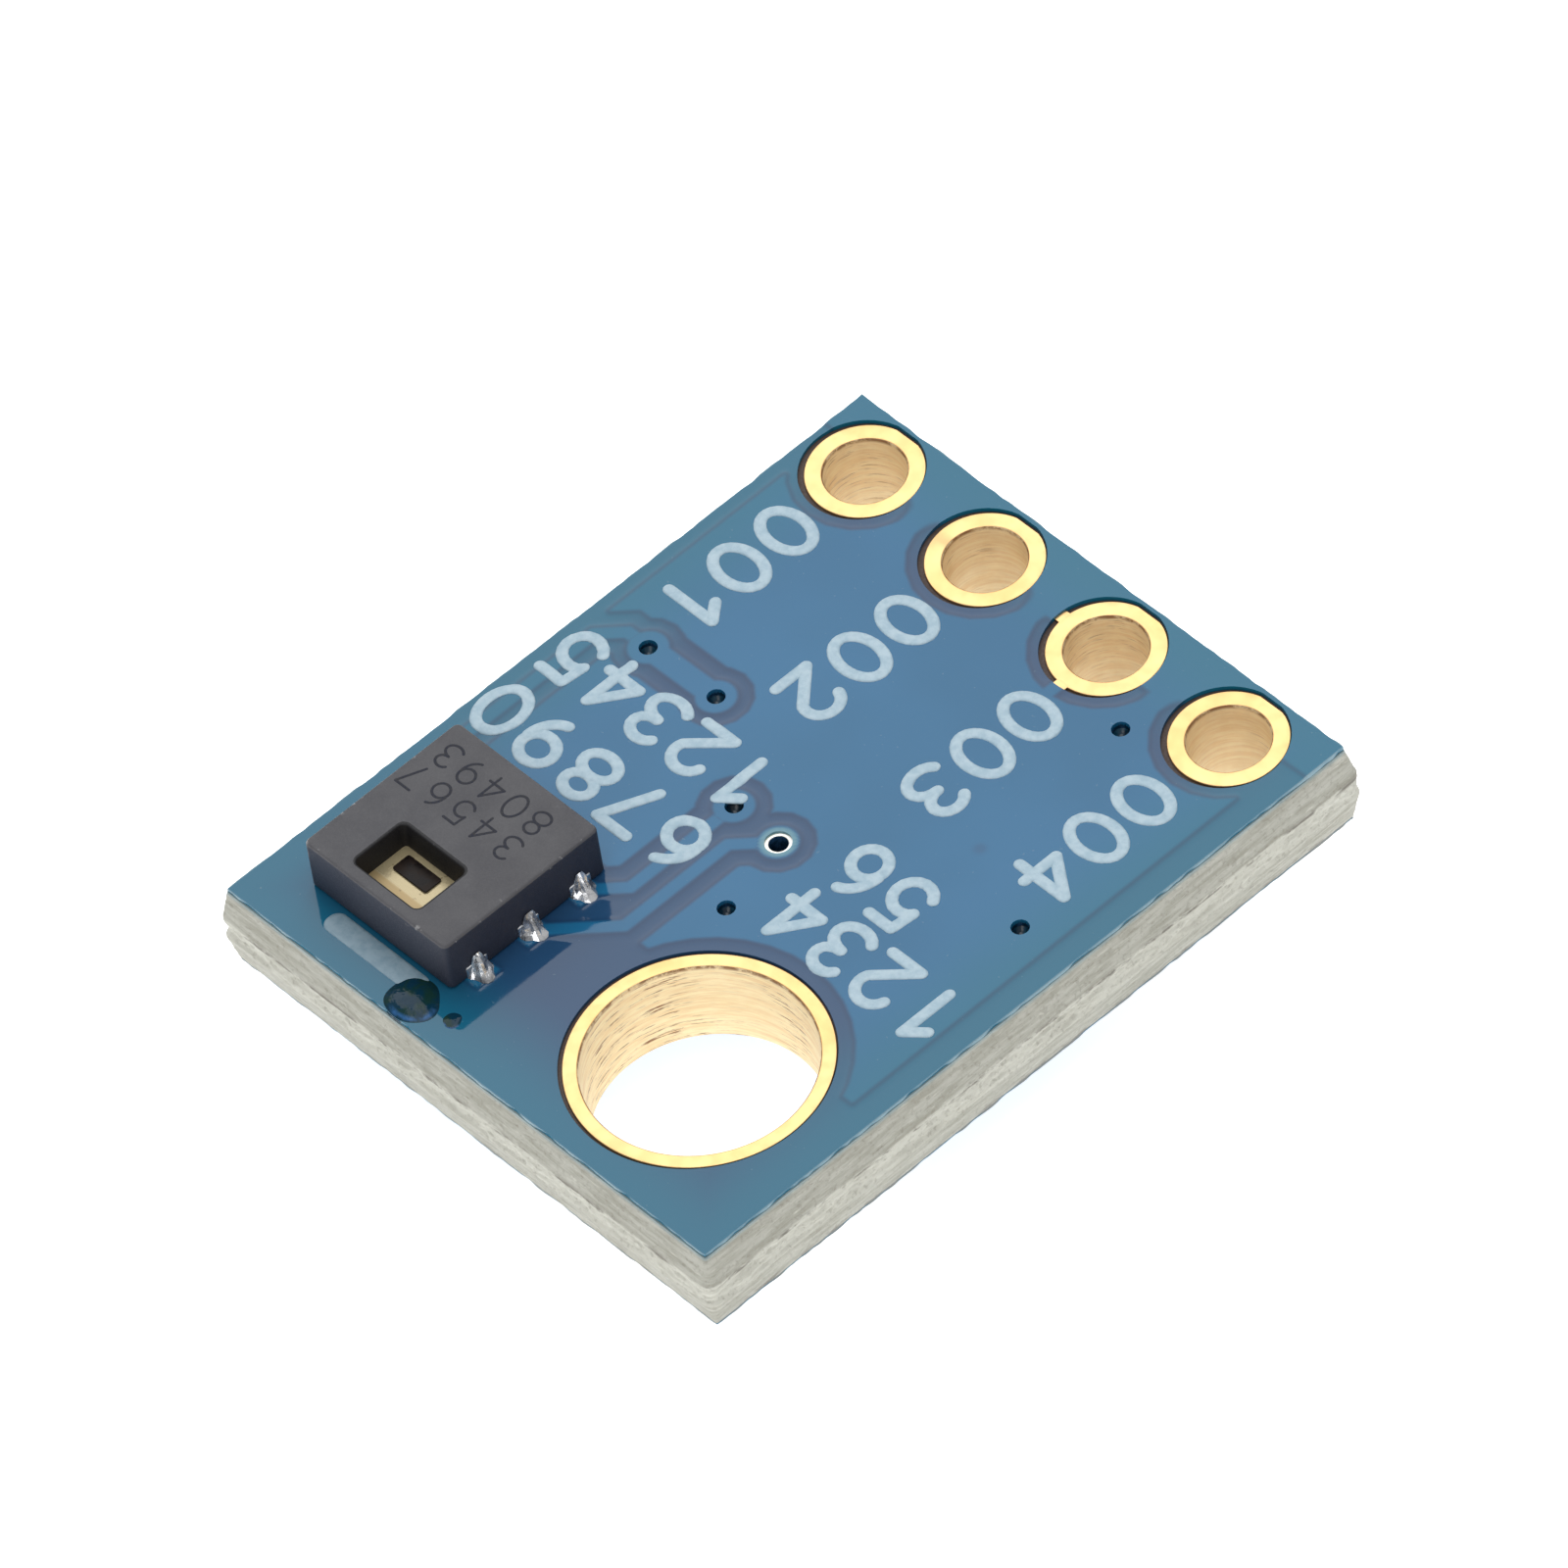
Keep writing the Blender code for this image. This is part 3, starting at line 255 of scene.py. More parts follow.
def outline_edges(name, level):
    """The edges round a CAD node's flat faces at a level, as rows of x1, y1, x2, y2: of the triangles whose corners
    all lie at the level, the edges that no neighbour runs the other way."""
    same_level, places_to_mm = 0.002, 2000
    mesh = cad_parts[name].data
    places = np.empty(len(mesh.vertices) * 3)
    mesh.vertices.foreach_get("co", places)
    places = places.reshape(-1, 3) / MM
    mesh.calc_loop_triangles()
    corners = np.empty(len(mesh.loop_triangles) * 3, dtype=np.int64)
    mesh.loop_triangles.foreach_get("vertices", corners)
    corners = corners.reshape(-1, 3)
    flat = corners[np.all(np.abs(places[corners][:, :, 2] - level) < same_level, axis=1)]
    _, number = np.unique(np.round(places[:, :2] * places_to_mm).astype(np.int64), axis=0, return_inverse=True)
    start = number.reshape(-1)[flat]
    end = np.roll(start, -1, axis=1)
    count = len(places)
    alone = ~np.isin(start * count + end, end * count + start)
    first = places[flat][:, :, :2]
    rows = np.concatenate([first, np.roll(first, -1, axis=1)], axis=2)
    return rows[alone]


def depth_inside(x, y, edges, at_a_time=8000):
    """How far points lie inside outlines, negative outside: the distance to the nearest edge, and the sign of an
    odd or even count of the edges that a line along X from the point crosses."""
    flat_x, flat_y = x.ravel(), y.ravel()
    start_x, start_y, end_x, end_y = edges.T
    run, rise = end_x - start_x, end_y - start_y
    squared = run * run + rise * rise
    depth = np.empty(flat_x.size)
    for first in range(0, flat_x.size, at_a_time):
        block = slice(first, first + at_a_time)
        to_x, to_y = flat_x[block, None] - start_x, flat_y[block, None] - start_y
        share = np.clip((to_x * run + to_y * rise) / squared, 0, 1)
        gap = np.hypot(to_x - share * run, to_y - share * rise).min(axis=1)
        above = flat_y[block, None]
        meets = (start_y > above) != (end_y > above)
        crossing = start_x + to_y * run / np.where(rise == 0, 1, rise)
        odd = (meets & (crossing > flat_x[block, None])).sum(axis=1) % 2
        depth[block] = np.where(odd == 1, gap, -gap)
    return depth.reshape(x.shape)


class Relief:
    """Where the copper of one face lies under the mask, and how high that makes the mask."""

    def __init__(self, face, board):
        top = face == "top"
        level = box_mm(f"ground_copper_{face}")[1 if top else 0][2]
        self.outlines = [outline_edges(name, level) for name in (TOP_COPPER if top else UNDER_COPPER)]
        self.lands = [
            (*middle_mm(name)[:2], land_radius(name) + (GROUND_SPREAD if name in GROUND_VIAS else 0.0)) for name in VIAS
        ]
        self.up, self.step, self.ramp = 1 if top else -1, board["mask_step"], board["mask_ramp"]
        self.bare = (MASK_HIGH if top else UNDER_MASK_LOW)[2] - self.up * self.step
        self.joint_half = board["joint_track"] / 2

    def depth(self, x, y):
        """The greatest depth inside any copper, a land counting as its radius less the distance from its middle. On
        the top face the track between the data vias counts too, and a strip along the header edge lies level."""
        found = np.full(x.shape, NO_COPPER)
        for edges in self.outlines:
            found = np.maximum(found, depth_inside(x, y, edges))
        for middle_x, middle_y, radius in self.lands:
            found = np.maximum(found, radius - np.hypot(x - middle_x, y - middle_y))
        if self.up > 0:
            start, end = (middle_mm(name)[:2] for name in DATA_VIAS)
            run = end - start
            share = np.clip(((x - start[0]) * run[0] + (y - start[1]) * run[1]) / (run @ run), 0, 1)
            apart = np.hypot(x - start[0] - share * run[0], y - start[1] - share * run[1])
            plain = smooth_step((y - PLAIN_STRIP_Y) / PLAIN_STRIP_BLEND)
            found = np.maximum(found, self.joint_half - apart) * (1 - plain) + PLAIN_STRIP_DEPTH * plain
        return found

    def height(self, x, y):
        """The mask's level: the bare level, and a smooth step up over the copper and a ramp's width beside it."""
        return self.bare + self.up * self.step * smooth_step((self.depth(x, y) + self.ramp) / self.ramp)


# ---------------------------------------------------------------- meshes


def make_piece(name, skin, materials, slot, stands_for=(), kinds=None, values=None, crease=40.0):
    """A mesh object from points in millimetres and faces, shaded smooth up to the crease angle, riding on the board.
    Kinds are the faces' material numbers, and values are numbers at the points, by attribute name."""
    points, faces = skin
    mesh = bpy.data.meshes.new(name)
    mesh.from_pydata((points * MM).tolist(), [], faces)
    for material in materials:
        mesh.materials.append(material)
    if kinds is not None:
        mesh.polygons.foreach_set("material_index", kinds.astype(np.int32))
    for title, numbers in (values or {}).items():
        layer = mesh.attributes.new(title, "FLOAT", "POINT")
        layer.data.foreach_set("value", numbers.astype(np.float32))
    mesh.polygons.foreach_set("use_smooth", np.ones(len(mesh.polygons), dtype=bool))
    mesh.set_sharp_from_angle(angle=math.radians(crease))
    mesh.update()
    piece = bpy.data.objects.new(name, mesh)
    bpy.context.scene.collection.objects.link(piece)
    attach(piece, "root")
    if stands_for:
        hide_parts(*stands_for)


def refinish(name, material):
    """Gives a CAD node that stays another material."""
    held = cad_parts[name].data.materials
    held.clear()
    held.append(material)


def joined(skins):
    """Several skins as one: their points one after another, and their faces counted on."""
    points, faces, count = [], [], 0
    for skin_points, skin_faces in skins:
        points.append(skin_points)
        faces += [[number + count for number in face] for face in skin_faces]
        count += len(skin_points)
    return np.vstack(points), faces


def drafted(skin):
    """A skin as a bmesh, to be closed there."""
    mesh = bpy.data.meshes.new("draft")
    mesh.from_pydata(skin[0].tolist(), [], skin[1])
    shape = bmesh.new()
    shape.from_mesh(mesh)
    bpy.data.meshes.remove(mesh)
    return shape


def filled(shape, edges):
    """Fills the flat faces that edges of a bmesh bound, holes left open."""
    bmesh.ops.triangle_fill(shape, use_beauty=False, use_dissolve=False, edges=edges)


def read_back(shape, triangles=False):
    """A closed bmesh as a skin whose faces point outwards, and all of them triangles if so asked."""
    bmesh.ops.recalc_face_normals(shape, faces=shape.faces)
    if triangles:
        bmesh.ops.triangulate(shape, faces=shape.faces)
    shape.verts.index_update()
    points = np.array([vertex.co[:] for vertex in shape.verts])
    faces = [[vertex.index for vertex in face.verts] for face in shape.faces]
    shape.free()
    return points, faces


def closed_below(skin, level):
    """Closes an open sheet into a plate: each outline edge gets a wall to the level, and the base is filled."""
    shape = drafted(skin)
    rim = [edge for edge in shape.edges if edge.is_boundary]
    made = bmesh.ops.extrude_edge_only(shape, edges=rim)["geom"]
    for vertex in made:
        if isinstance(vertex, bmesh.types.BMVert):
            vertex.co.z = level
    filled(shape, [edge for edge in made if isinstance(edge, bmesh.types.BMEdge)])
    return read_back(shape)


def holed_sheet(cell, openings, height, rim):
    """A height field over the board with round openings: a grid of cells, without those whose middle lies in an
    opening; the points left on an opening's edge move out along its radius onto the circle. The sheet's border draws
    back by up to the rim's width, by smooth noise."""
    half_x, half_y = MASK_HIGH[:2]
    border = 1e-6
    columns, rows = int(round(2 * half_x / cell)) + 1, int(round(2 * half_y / cell)) + 1
    grid_x, grid_y = np.meshgrid(np.linspace(-half_x, half_x, columns), np.linspace(-half_y, half_y, rows))
    faces = grid_faces(rows, columns)
    x, y = grid_x.ravel(), grid_y.ravel()
    middle_x, middle_y = x[faces].mean(axis=1), y[faces].mean(axis=1)
    kept = np.ones(len(faces), dtype=bool)
    moved_x, moved_y = x.copy(), y.copy()
    for centre_x, centre_y, radius, limit in openings:
        gone = (np.hypot(middle_x - centre_x, middle_y - centre_y) < radius) & (middle_y < limit)
        kept &= ~gone
        on_edge = np.intersect1d(faces[gone], faces[~gone])
        away_x, away_y = x[on_edge] - centre_x, y[on_edge] - centre_y
        length = np.hypot(away_x, away_y)
        moved_x[on_edge] = centre_x + away_x / length * radius
        moved_y[on_edge] = np.minimum(centre_y + away_y / length * radius, limit)
    wander = rim * (0.5 + 0.5 * lattice_noise(x * 3 + y * 5, y * 3 - x * 4, 3))
    moved_x -= np.sign(x) * (np.abs(x) > half_x - border) * wander
    moved_y -= np.sign(y) * (np.abs(y) > half_y - border) * wander
    used, numbers = np.unique(faces[kept], return_inverse=True)
    points = np.column_stack([moved_x[used], moved_y[used], height(moved_x[used], moved_y[used])])
    return points, numbers.reshape(-1, 4).tolist()


def filled_board(band, holes):
    """The laminate: the band round its edge, flat faces above and below with round holes, and the holes' walls."""
    skins, same_level = [band], 1e-4
    levels = BOARD_HIGH[2], BOARD_LOW[2]
    for centre_x, centre_y, radius, steps in holes:
        ring = circle(steps) * radius + (centre_x, centre_y)
        wall = carried(ring, circle(steps), [(0, level) for level in levels])
        skins.append((wall.reshape(-1, 3), grid_faces(2, steps, around=True).tolist()))
    shape = drafted(joined(skins))
    for level in levels:
        filled(shape, [
            edge for edge in shape.edges
            if edge.is_boundary and all(abs(vertex.co.z - level) < same_level for vertex in edge.verts)
        ])
    return read_back(shape)


# ---------------------------------------------------------------- strokes of the numbers


def curve(middle, sizes, start, end, steps=14):
    """Points along part of an ellipse: middle + sizes * (cos a, sin a), with a from start to end in degrees."""
    angles = np.radians(np.linspace(start, end, steps))
    return np.array(middle) + np.array(sizes) * np.column_stack([np.cos(angles), np.sin(angles)])


def figure_strokes():
    """The strokes of each figure, in a box one wide and one high; strokes that meet at a corner are apart, so that
    their round ends join them."""
    return {
        "0": [curve((0.5, 0.5), (0.5, 0.5), 90, 450, 28)],
        "1": [[(0.1, 0.74), (0.55, 1.0)], [(0.55, 1.0), (0.55, 0.0)]],
        "2": [np.vstack([curve((0.5, 0.7), (0.46, 0.3), 165, -25), [(0.02, 0.0)]]), [(0.02, 0.0), (0.98, 0.0)]],
        "3": [curve((0.48, 0.76), (0.42, 0.24), 150, -90), curve((0.46, 0.26), (0.5, 0.26), 90, -150)],
        "4": [[(0.72, 0.0), (0.72, 1.0)], [(0.72, 1.0), (0.0, 0.3)], [(0.0, 0.3), (1.0, 0.3)]],
        "5": [[(0.92, 1.0), (0.16, 1.0)], [(0.16, 1.0), (0.1, 0.56)], curve((0.46, 0.34), (0.5, 0.34), 138, -150)],
        "6": [curve((0.75, 0.42), (0.72, 0.58), 105, 180), curve((0.5, 0.31), (0.46, 0.31), 180, 540, 24)],
        "7": [[(0.02, 1.0), (0.98, 1.0)], [(0.98, 1.0), (0.36, 0.0)]],
        "8": [curve((0.5, 0.76), (0.4, 0.24), 90, 450, 22), curve((0.5, 0.26), (0.48, 0.26), 90, 450, 24)],
        "9": [curve((0.25, 0.58), (0.72, 0.58), -75, 0), curve((0.5, 0.69), (0.46, 0.31), 0, 360, 24)],
    }


def ribbon(path, width, proud, sunk, height):
    """A stroke with round ends: at each point of the path a low dome across it, half the width each way; before and
    after the path the half width falls as a circle does. The dome's foot follows the height of what it lies on."""
    path = np.asarray(path, dtype=float)
    lengths = np.hypot(*np.diff(path, axis=0).T)
    along = np.concatenate([[0], np.cumsum(lengths)])
    count = max(3, int(along[-1] / (width * 0.3)))
    places = np.unique(np.concatenate([np.linspace(0, along[-1], count), along]))
    middle = np.column_stack([np.interp(places, along, path[:, axis]) for axis in (0, 1)])
    way = np.gradient(middle, places, axis=0)
    way /= np.hypot(*way.T)[:, None]
    half = width / 2
    cap = np.linspace(math.pi / 2 * 0.96, 0, 5)[:-1]
    before = middle[0] - way[0] * (np.sin(cap) * half)[:, None]
    after = middle[-1] + way[-1] * (np.sin(cap[::-1]) * half)[:, None]
    middle = np.vstack([before, middle, after])
    way = np.vstack([np.repeat(way[:1], 4, axis=0), way, np.repeat(way[-1:], 4, axis=0)])
    halves = np.concatenate([np.cos(cap) * half, np.full(len(places), half), np.cos(cap[::-1]) * half])
    across = np.column_stack([-way[:, 1], way[:, 0]])
    share = np.array([1, 0.93, 0.7, 0.3, -0.3, -0.7, -0.93, -1, -1, 1])
    lift = np.append(np.sqrt(np.clip(1 - share[:8] ** 4, 0, 1)) * proud, [-sunk, -sunk])
    flat = middle[:, None, :] + across[:, None, :] * (halves[:, None] * share)[:, :, None]
    foot = height(flat[..., 0], flat[..., 1])
    rings = np.concatenate([flat, (foot + lift * (halves / half)[:, None] ** 0.5)[..., None]], axis=2)
    return tube(rings[:, ::-1])


def number_strokes(figures, origin, step, box, turn):
    """The strokes of a row of figures: each figure's box is scaled to its size, moved on by the step, and the row is
    turned by an angle in degrees about its origin."""
    angle = math.radians(turn)
    matrix = np.array([[math.cos(angle), math.sin(angle)], [-math.sin(angle), math.cos(angle)]])
    known = figure_strokes()
    return [
        (np.asarray(path) * box + (place * step, 0.0)) @ matrix + origin
        for place, figure in enumerate(figures) for path in known[figure]
    ]


def stroke_piece(name, paths, width, proud, height, finish, slot, lift, sunk):
    """One piece of many strokes. Each lies up to twice the lift higher than another, so that no two surfaces fall
    together where strokes cross."""
    skins = [ribbon(path, width, proud + lift * (number % 3), sunk, height) for number, path in enumerate(paths)]
    make_piece(name, joined(skins), [finish], slot, crease=50)


# ---------------------------------------------------------------- finishes


CLOUD_SPAN = (0.3, 0.7)  # the middle of a cloud's range, where most of it lies

# Finishes of one cloud of noise: its scale, detail and roughness, where it turns from the first colour to the second,
# how rough it makes them, and the height in millimetres and the strength of its bump
CLOUDED = {
    # Lacquer run into a tented via over dark metal
    "via_barrel": ((9.0, 3.0, 0.5), (0.3, 0.7), (0.15, 0.35), (0.01, 0.7)),
    # Lacquer that fills a via: a clear teal with darker clouds, glossy
    "via_plug": ((8.0, 2.0, 0.5), (0.4, 0.7), (0.1, 0.25), (0.01, 0.5)),
    # The humidity film: nearly black, smooth, with a brownish cast in places
    "humidity_film": ((6.0, 3.0, 0.5), (0.35, 0.7), (0.22, 0.4), (0.003, 0.4)),
    # Laser marks in moulding compound: darker than the top and rough
    "engraved_marks": ((45.0, 2.0, 0.5), (0.3, 0.7), (0.7, 0.9), (0.006, 0.8)),
    # Fired ceramic: an even colour with fine grains and a low sheen
    "capacitor_ceramic": ((20.0, 4.0, 0.6), (0.3, 0.7), (0.35, 0.55), (0.006, 0.5)),
    "resistor_glaze": ((20.0, 4.0, 0.6), (0.3, 0.7), (0.2, 0.4), (0.006, 0.5)),
}


class Finish:
    """A material that starts as one colour and gets others laid over it. Its methods add nodes: a socket that they are
    given is linked, and any other value is set."""

    def __init__(self, name, base):
        self.material = bpy.data.materials.new(name)
        self.material.use_nodes = True
        self.tree = self.material.node_tree
        self.base = base

    def put(self, socket, value):
        """Links a socket to the value if that is a socket, and otherwise sets it."""
        if isinstance(value, bpy.types.NodeSocket):
            self.tree.links.new(value, socket)
        elif hasattr(value, "__len__") and socket.type == "RGBA":
            socket.default_value = (*value[:3], 1.0)
        else:
            socket.default_value = value

    def add(self, kind, inputs=None, output=0, **properties):
        """A node of a kind, with its inputs by name or number, and the output that is asked for."""
        node = self.tree.nodes.new(kind)
        for key, value in properties.items():
            setattr(node, key, value)
        for key, value in (inputs or {}).items():
            self.put(node.inputs[key], value)
        return node.outputs[output]

    def millimetres(self, scale=(1, 1, 1)):
        """The place on the object in millimetres, each axis stretched by a scale."""
        place = self.add("ShaderNodeTexCoord", output="Object")
        return self.add("ShaderNodeMapping", {"Vector": place, "Scale": tuple(value / MM for value in scale)})

    def axis(self, number):
        """The place on the object along one axis, in millimetres."""
        return self.add("ShaderNodeSeparateXYZ", {0: self.millimetres()}, number)

    def noise(self, scale, detail, roughness=0.5, stretch=(1, 1, 1), distortion=0.0):
        """Clouds of noise between 0 and 1, so many to the millimetre, each axis stretched by its share."""
        values = {
            "Vector": self.millimetres(stretch), "Scale": scale, "Detail": detail, "Roughness": roughness,
            "Distortion": distortion,
        }
        return self.add("ShaderNodeTexNoise", values, "Fac")

    def value_of(self, title):
        """A number that the mesh holds at its points, or 0 where it holds none."""
        return self.add("ShaderNodeAttribute", output="Fac", attribute_name=title)

    def between(self, value, low, high, to_low=0.0, to_high=1.0):
        """A value moved from one range to another, smoothly and without going past its ends."""
        values = {"Value": value, "From Min": low, "From Max": high, "To Min": to_low, "To Max": to_high}
        return self.add("ShaderNodeMapRange", values, interpolation_type="SMOOTHSTEP")

    def math(self, operation, *values):
        """One or two values worked into one."""
        return self.add("ShaderNodeMath", dict(enumerate(values)), operation=operation)

    def mix(self, share, first, second):
        """A colour between two others."""
        return self.add("ShaderNodeMix", {0: share, 6: first, 7: second}, 2, data_type="RGBA")

    def cover(self, colour, value, span=None, share=(0.0, 1.0), within=None):
        """Lays a colour over what is there: the value is how much of it shows, or the share is that, from its first
        number to its second as the value goes through a span. Within is a second value that it is multiplied by."""
        shown = self.between(value, *span, *share) if span else value
        if within is not None:
            shown = self.math("MULTIPLY", shown, within)
        self.base = self.mix(shown, self.base, colour)

    def rough(self, cloud, low, high):
        """Roughness from low to high, as a cloud goes through the middle of its range."""
        return self.between(cloud, *CLOUD_SPAN, low, high)

    def bump(self, height, millimetres, strength):
        """A bumped surface from a height between 0 and 1, so many millimetres high."""
        return self.add("ShaderNodeBump", {"Height": height, "Distance": millimetres * MM, "Strength": strength})

    def finished(self, **inputs):
        """The material, with the colours laid so far and other inputs of its shader given by name."""
        shader = self.tree.nodes["Principled BSDF"]
        for key, value in {"base_color": self.base, **inputs}.items():
            self.put(shader.inputs[key.replace("_", " ").title().replace("Ior", "IOR")], value)
        return self.material


def clouded_finish(name, first, second, **more):
    """A finish of one cloud of noise: it blends two colours, makes them more or less rough, and lifts the surface, by
    the numbers that CLOUDED gives for the name."""
    made = Finish(name, first)
    texture, span, rough, lift = CLOUDED[name]
    cloud = made.noise(*texture)
    made.cover(second, cloud, span)
    return made.finished(roughness=made.rough(cloud, *rough), normal=made.bump(cloud, *lift), **more)


def mask_finish(colours, broken):
    """Glossy lacquer: lighter and bluer over copper, darker and more purple over bare laminate, greener towards the
    board's edge as a painted reflection, broken at its rim, thin round the open via, with pale specks and one faint
    mark."""
    made = Finish("glossy_blue_mask", colours.mask_over_copper)
    copper, rim = made.value_of("copper"), made.value_of("rim")
    over = made.between(copper, -0.05, 0.03)
    made.cover(colours.mask_over_copper_shade, made.noise(0.35, 2.0), CLOUD_SPAN)
    made.base = made.mix(over, colours.mask_over_laminate, made.base)
    # Painted reflection: the lacquer turns greener towards the board's edge
    made.cover(colours.mask_edge_reflection, rim, (0.1, 1.9), (0.85, 0.0))
    line = made.math("SUBTRACT", made.between(copper, -0.11, -0.02), over)
    made.cover(colours.mask_line, line, within=0.5)
    made.cover(colours.via_halo, made.value_of("halo"))
    made.cover(colours.mask_over_laminate, made.value_of("blemish"))
    made.cover(broken, rim, (0.0, 0.035), (0.8, 0.0))
    made.cover(colours.mask_rim, made.noise(14.0, 1.0), (0.76, 0.82), (0.0, 0.2))
    peel = made.bump(made.noise(3.0, 2.0), 0.002, 0.5)
    return made.finished(roughness=made.rough(made.noise(1.3, 4.0), 0.04, 0.09), normal=peel, specular_ior_level=0.46)


def laminate_finish(colours):
    """Glass fibre and resin: fine level streaks of dark and pale, short dashes, dark marks at the foot of the score, a
    blue-white top fringe, broken parts paler than the sloped score faces, partly for their torn fibres and partly as
    painted shade on the slopes, and painted shade on the face where the mask lies open."""
    made = Finish("glass_fibre_laminate", colours.laminate_dark)
    layers = made.noise(1.0, 5.0, 0.7, (1.1, 1.1, 11.0))
    dashes = made.noise(1.0, 4.0, 0.65, (3.2, 3.2, 24.0))
    made.cover(colours.laminate, layers, (0.36, 0.64))
    made.cover(colours.laminate_pale, dashes, (0.58, 0.74), (0.0, 0.7))
    made.cover(colours.laminate_streak, dashes, (0.27, 0.38), (0.8, 0.0))
    # The broken web is paler than the sloped score faces: partly its torn fibres, partly painted shade on the slopes
    made.cover(colours.laminate_pale, made.value_of("broken"), (0.2, 0.9), (0.0, 0.6))
    made.cover(colours.laminate_streak, made.noise(11.0, 3.0, 0.7), (0.52, 0.68), (0.0, 0.4))
    torn = made.noise(1.0, 4.0, 0.7, (1.6, 1.6, 5.0))
    made.cover(colours.laminate_line, torn, (0.46, 0.6), within=made.value_of("foot"))
    made.cover(colours.mask_rim, made.value_of("fringe"), (0.0, 1.0), (0.0, 0.6))
    # Painted shade on the laminate's faces inside the mask's outline, seen in the gaps round the lands
    gaps = [made.math("SUBTRACT", made.math("ABSOLUTE", made.axis(axis)), float(MASK_HIGH[axis])) for axis in (0, 1)]
    made.cover(colours.laminate_in_painted_shade, made.math("MAXIMUM", *gaps), (-0.08, -0.03), (1.0, 0.0))
    fibres = made.bump(made.math("ADD", layers, dashes), 0.012, 0.8)
    return made.finished(roughness=made.rough(made.noise(30.0, 2.0), 0.55, 0.8), normal=fibres)


def gold_finish(colours):
    """Thin gold over nickel: a warm metal with small dull patches, one scuff and a fine pebbled surface."""
    made = Finish("gold_plating", colours.gold)
    made.cover(colours.gold_shade, made.noise(1.1, 4.0), (0.4, 0.7))
    made.cover(colours.barrel_smudge, made.value_of("scuff"))
    pebbles = made.bump(made.noise(12.0, 3.0), 0.0015, 0.4)
    return made.finished(metallic=1.0, roughness=made.rough(made.noise(5.0, 5.0), 0.3, 0.42), normal=pebbles)


def barrel_finish(colours, name, streaks, dull):
    """Plating over a drilled wall: tan metal with dull clouds, dark streaks that run round the hole in loose groups,
    and a ragged band of painted shade just under the land."""
    made = Finish(name, colours.barrel_shade)
    flecks = made.noise(1.0, 5.0, 0.65, (1.9, 1.9, 24.0))
    groups = made.between(made.noise(0.75, 2.0), 0.42, 0.62, 0.1, 1.0)
    ragged = made.between(made.noise(3.4, 5.0, 0.75), 0.4, 0.56, 0.15, 0.85)
    top = float(MASK_HIGH[2])
    made.cover(colours.barrel, made.noise(1.0, 5.0, 0.7, (1.3, 1.3, 16.0)), (0.36, 0.62))
    made.cover(colours.barrel_smudge, made.noise(2.2, 4.0, 0.6), (0.4, 0.7), (dull * 0.6, dull))
    made.cover(colours.drill_streak_and_rim_shade, flecks, (0.34, 0.46), (streaks, 0.0), within=groups)
    # Painted shade: a ragged dark band at the top of the bore, just under the land
    made.cover(colours.drill_streak_and_rim_shade, made.axis(2), (top - 0.13, top - 0.06), within=ragged)
    drilled = made.bump(flecks, 0.003, streaks * 0.4)
    return made.finished(metallic=0.3, roughness=made.rough(flecks, 0.45, 0.65), normal=drilled)


def moulding_finish(colours, name, colour, shade):
    """Moulding compound: dark and matt, with fine filler grains, a faint cloudiness, and pale chips and a scratched
    corner where the mesh asks for them; these pale marks are partly painted highlights on the package's top edge and on
    its upright corner at low X and Y."""
    made = Finish(name, colour)
    grains = made.noise(38.0, 3.0, 0.7)
    made.cover(shade, made.noise(1.4, 3.0), CLOUD_SPAN)
    made.cover(colours.filler_grain, grains, (0.62, 0.75), (0.0, 0.35))
    # Pale chips along the top edge, partly a painted highlight on the rounded edge
    made.cover(colours.chips_and_edge_highlights, made.noise(7.0, 3.0, 0.6), (0.62, 0.7), (0.0, 0.8), made.value_of("worn_and_highlit_edge"))
    # Pale marks at one upright corner, partly a painted highlight on that corner
    made.cover(colours.chips_and_edge_highlights, made.noise(9.0, 3.0), (0.42, 0.58), within=made.value_of("scratch_and_highlit_corner"))
    return made.finished(roughness=made.rough(grains, 0.5, 0.68), normal=made.bump(grains, 0.006, 0.7))


def metal_finish(name, colour, shade, rough, grain=7.0, depth=0.006, metallic=1.0):
    """Solder or tin: pale metal with patches of a second colour between bright ones, and shallow flow marks. On tin the
    patches are frosted; on the bright solder they are painted dark reflections.
    """
    made = Finish(name, colour)
    frost_and_reflection = made.noise(grain, 5.0, 0.6)
    made.cover(shade, frost_and_reflection, (0.35, 0.7))
    patches = made.between(made.noise(grain * 0.6, 3.0), 0.35, 0.65, *rough)
    return made.finished(metallic=metallic, roughness=patches, normal=made.bump(frost_and_reflection, depth, 0.8))


def die_finish(colours):
    """The die's plated face: pale gold, brighter in two bands, with a few small pits."""
    made = Finish("plated_die", colours.die)
    band = made.value_of("band")
    made.cover(colours.die_bright, band, (0.1, 0.9))
    made.cover(colours.die_pit, made.noise(11.0, 3.0), (0.64, 0.72), (0.0, 0.6))
    grain = made.bump(made.noise(18.0, 3.0), 0.004, 0.6)
    return made.finished(metallic=0.4, roughness=made.between(band, 0.0, 1.0, 0.42, 0.26), normal=grain)


def ink_finish(name, colour, thin_colour):
    """Printed ink: pale blue-white, a little uneven where it lies thin, half matt."""
    made = Finish(name, thin_colour)
    thin = made.noise(7.0, 4.0, 0.65)
    made.cover(colour, thin, (0.3, 0.68))
    return made.finished(roughness=made.rough(thin, 0.42, 0.62), normal=made.bump(made.noise(24.0, 2.0), 0.004, 0.6))


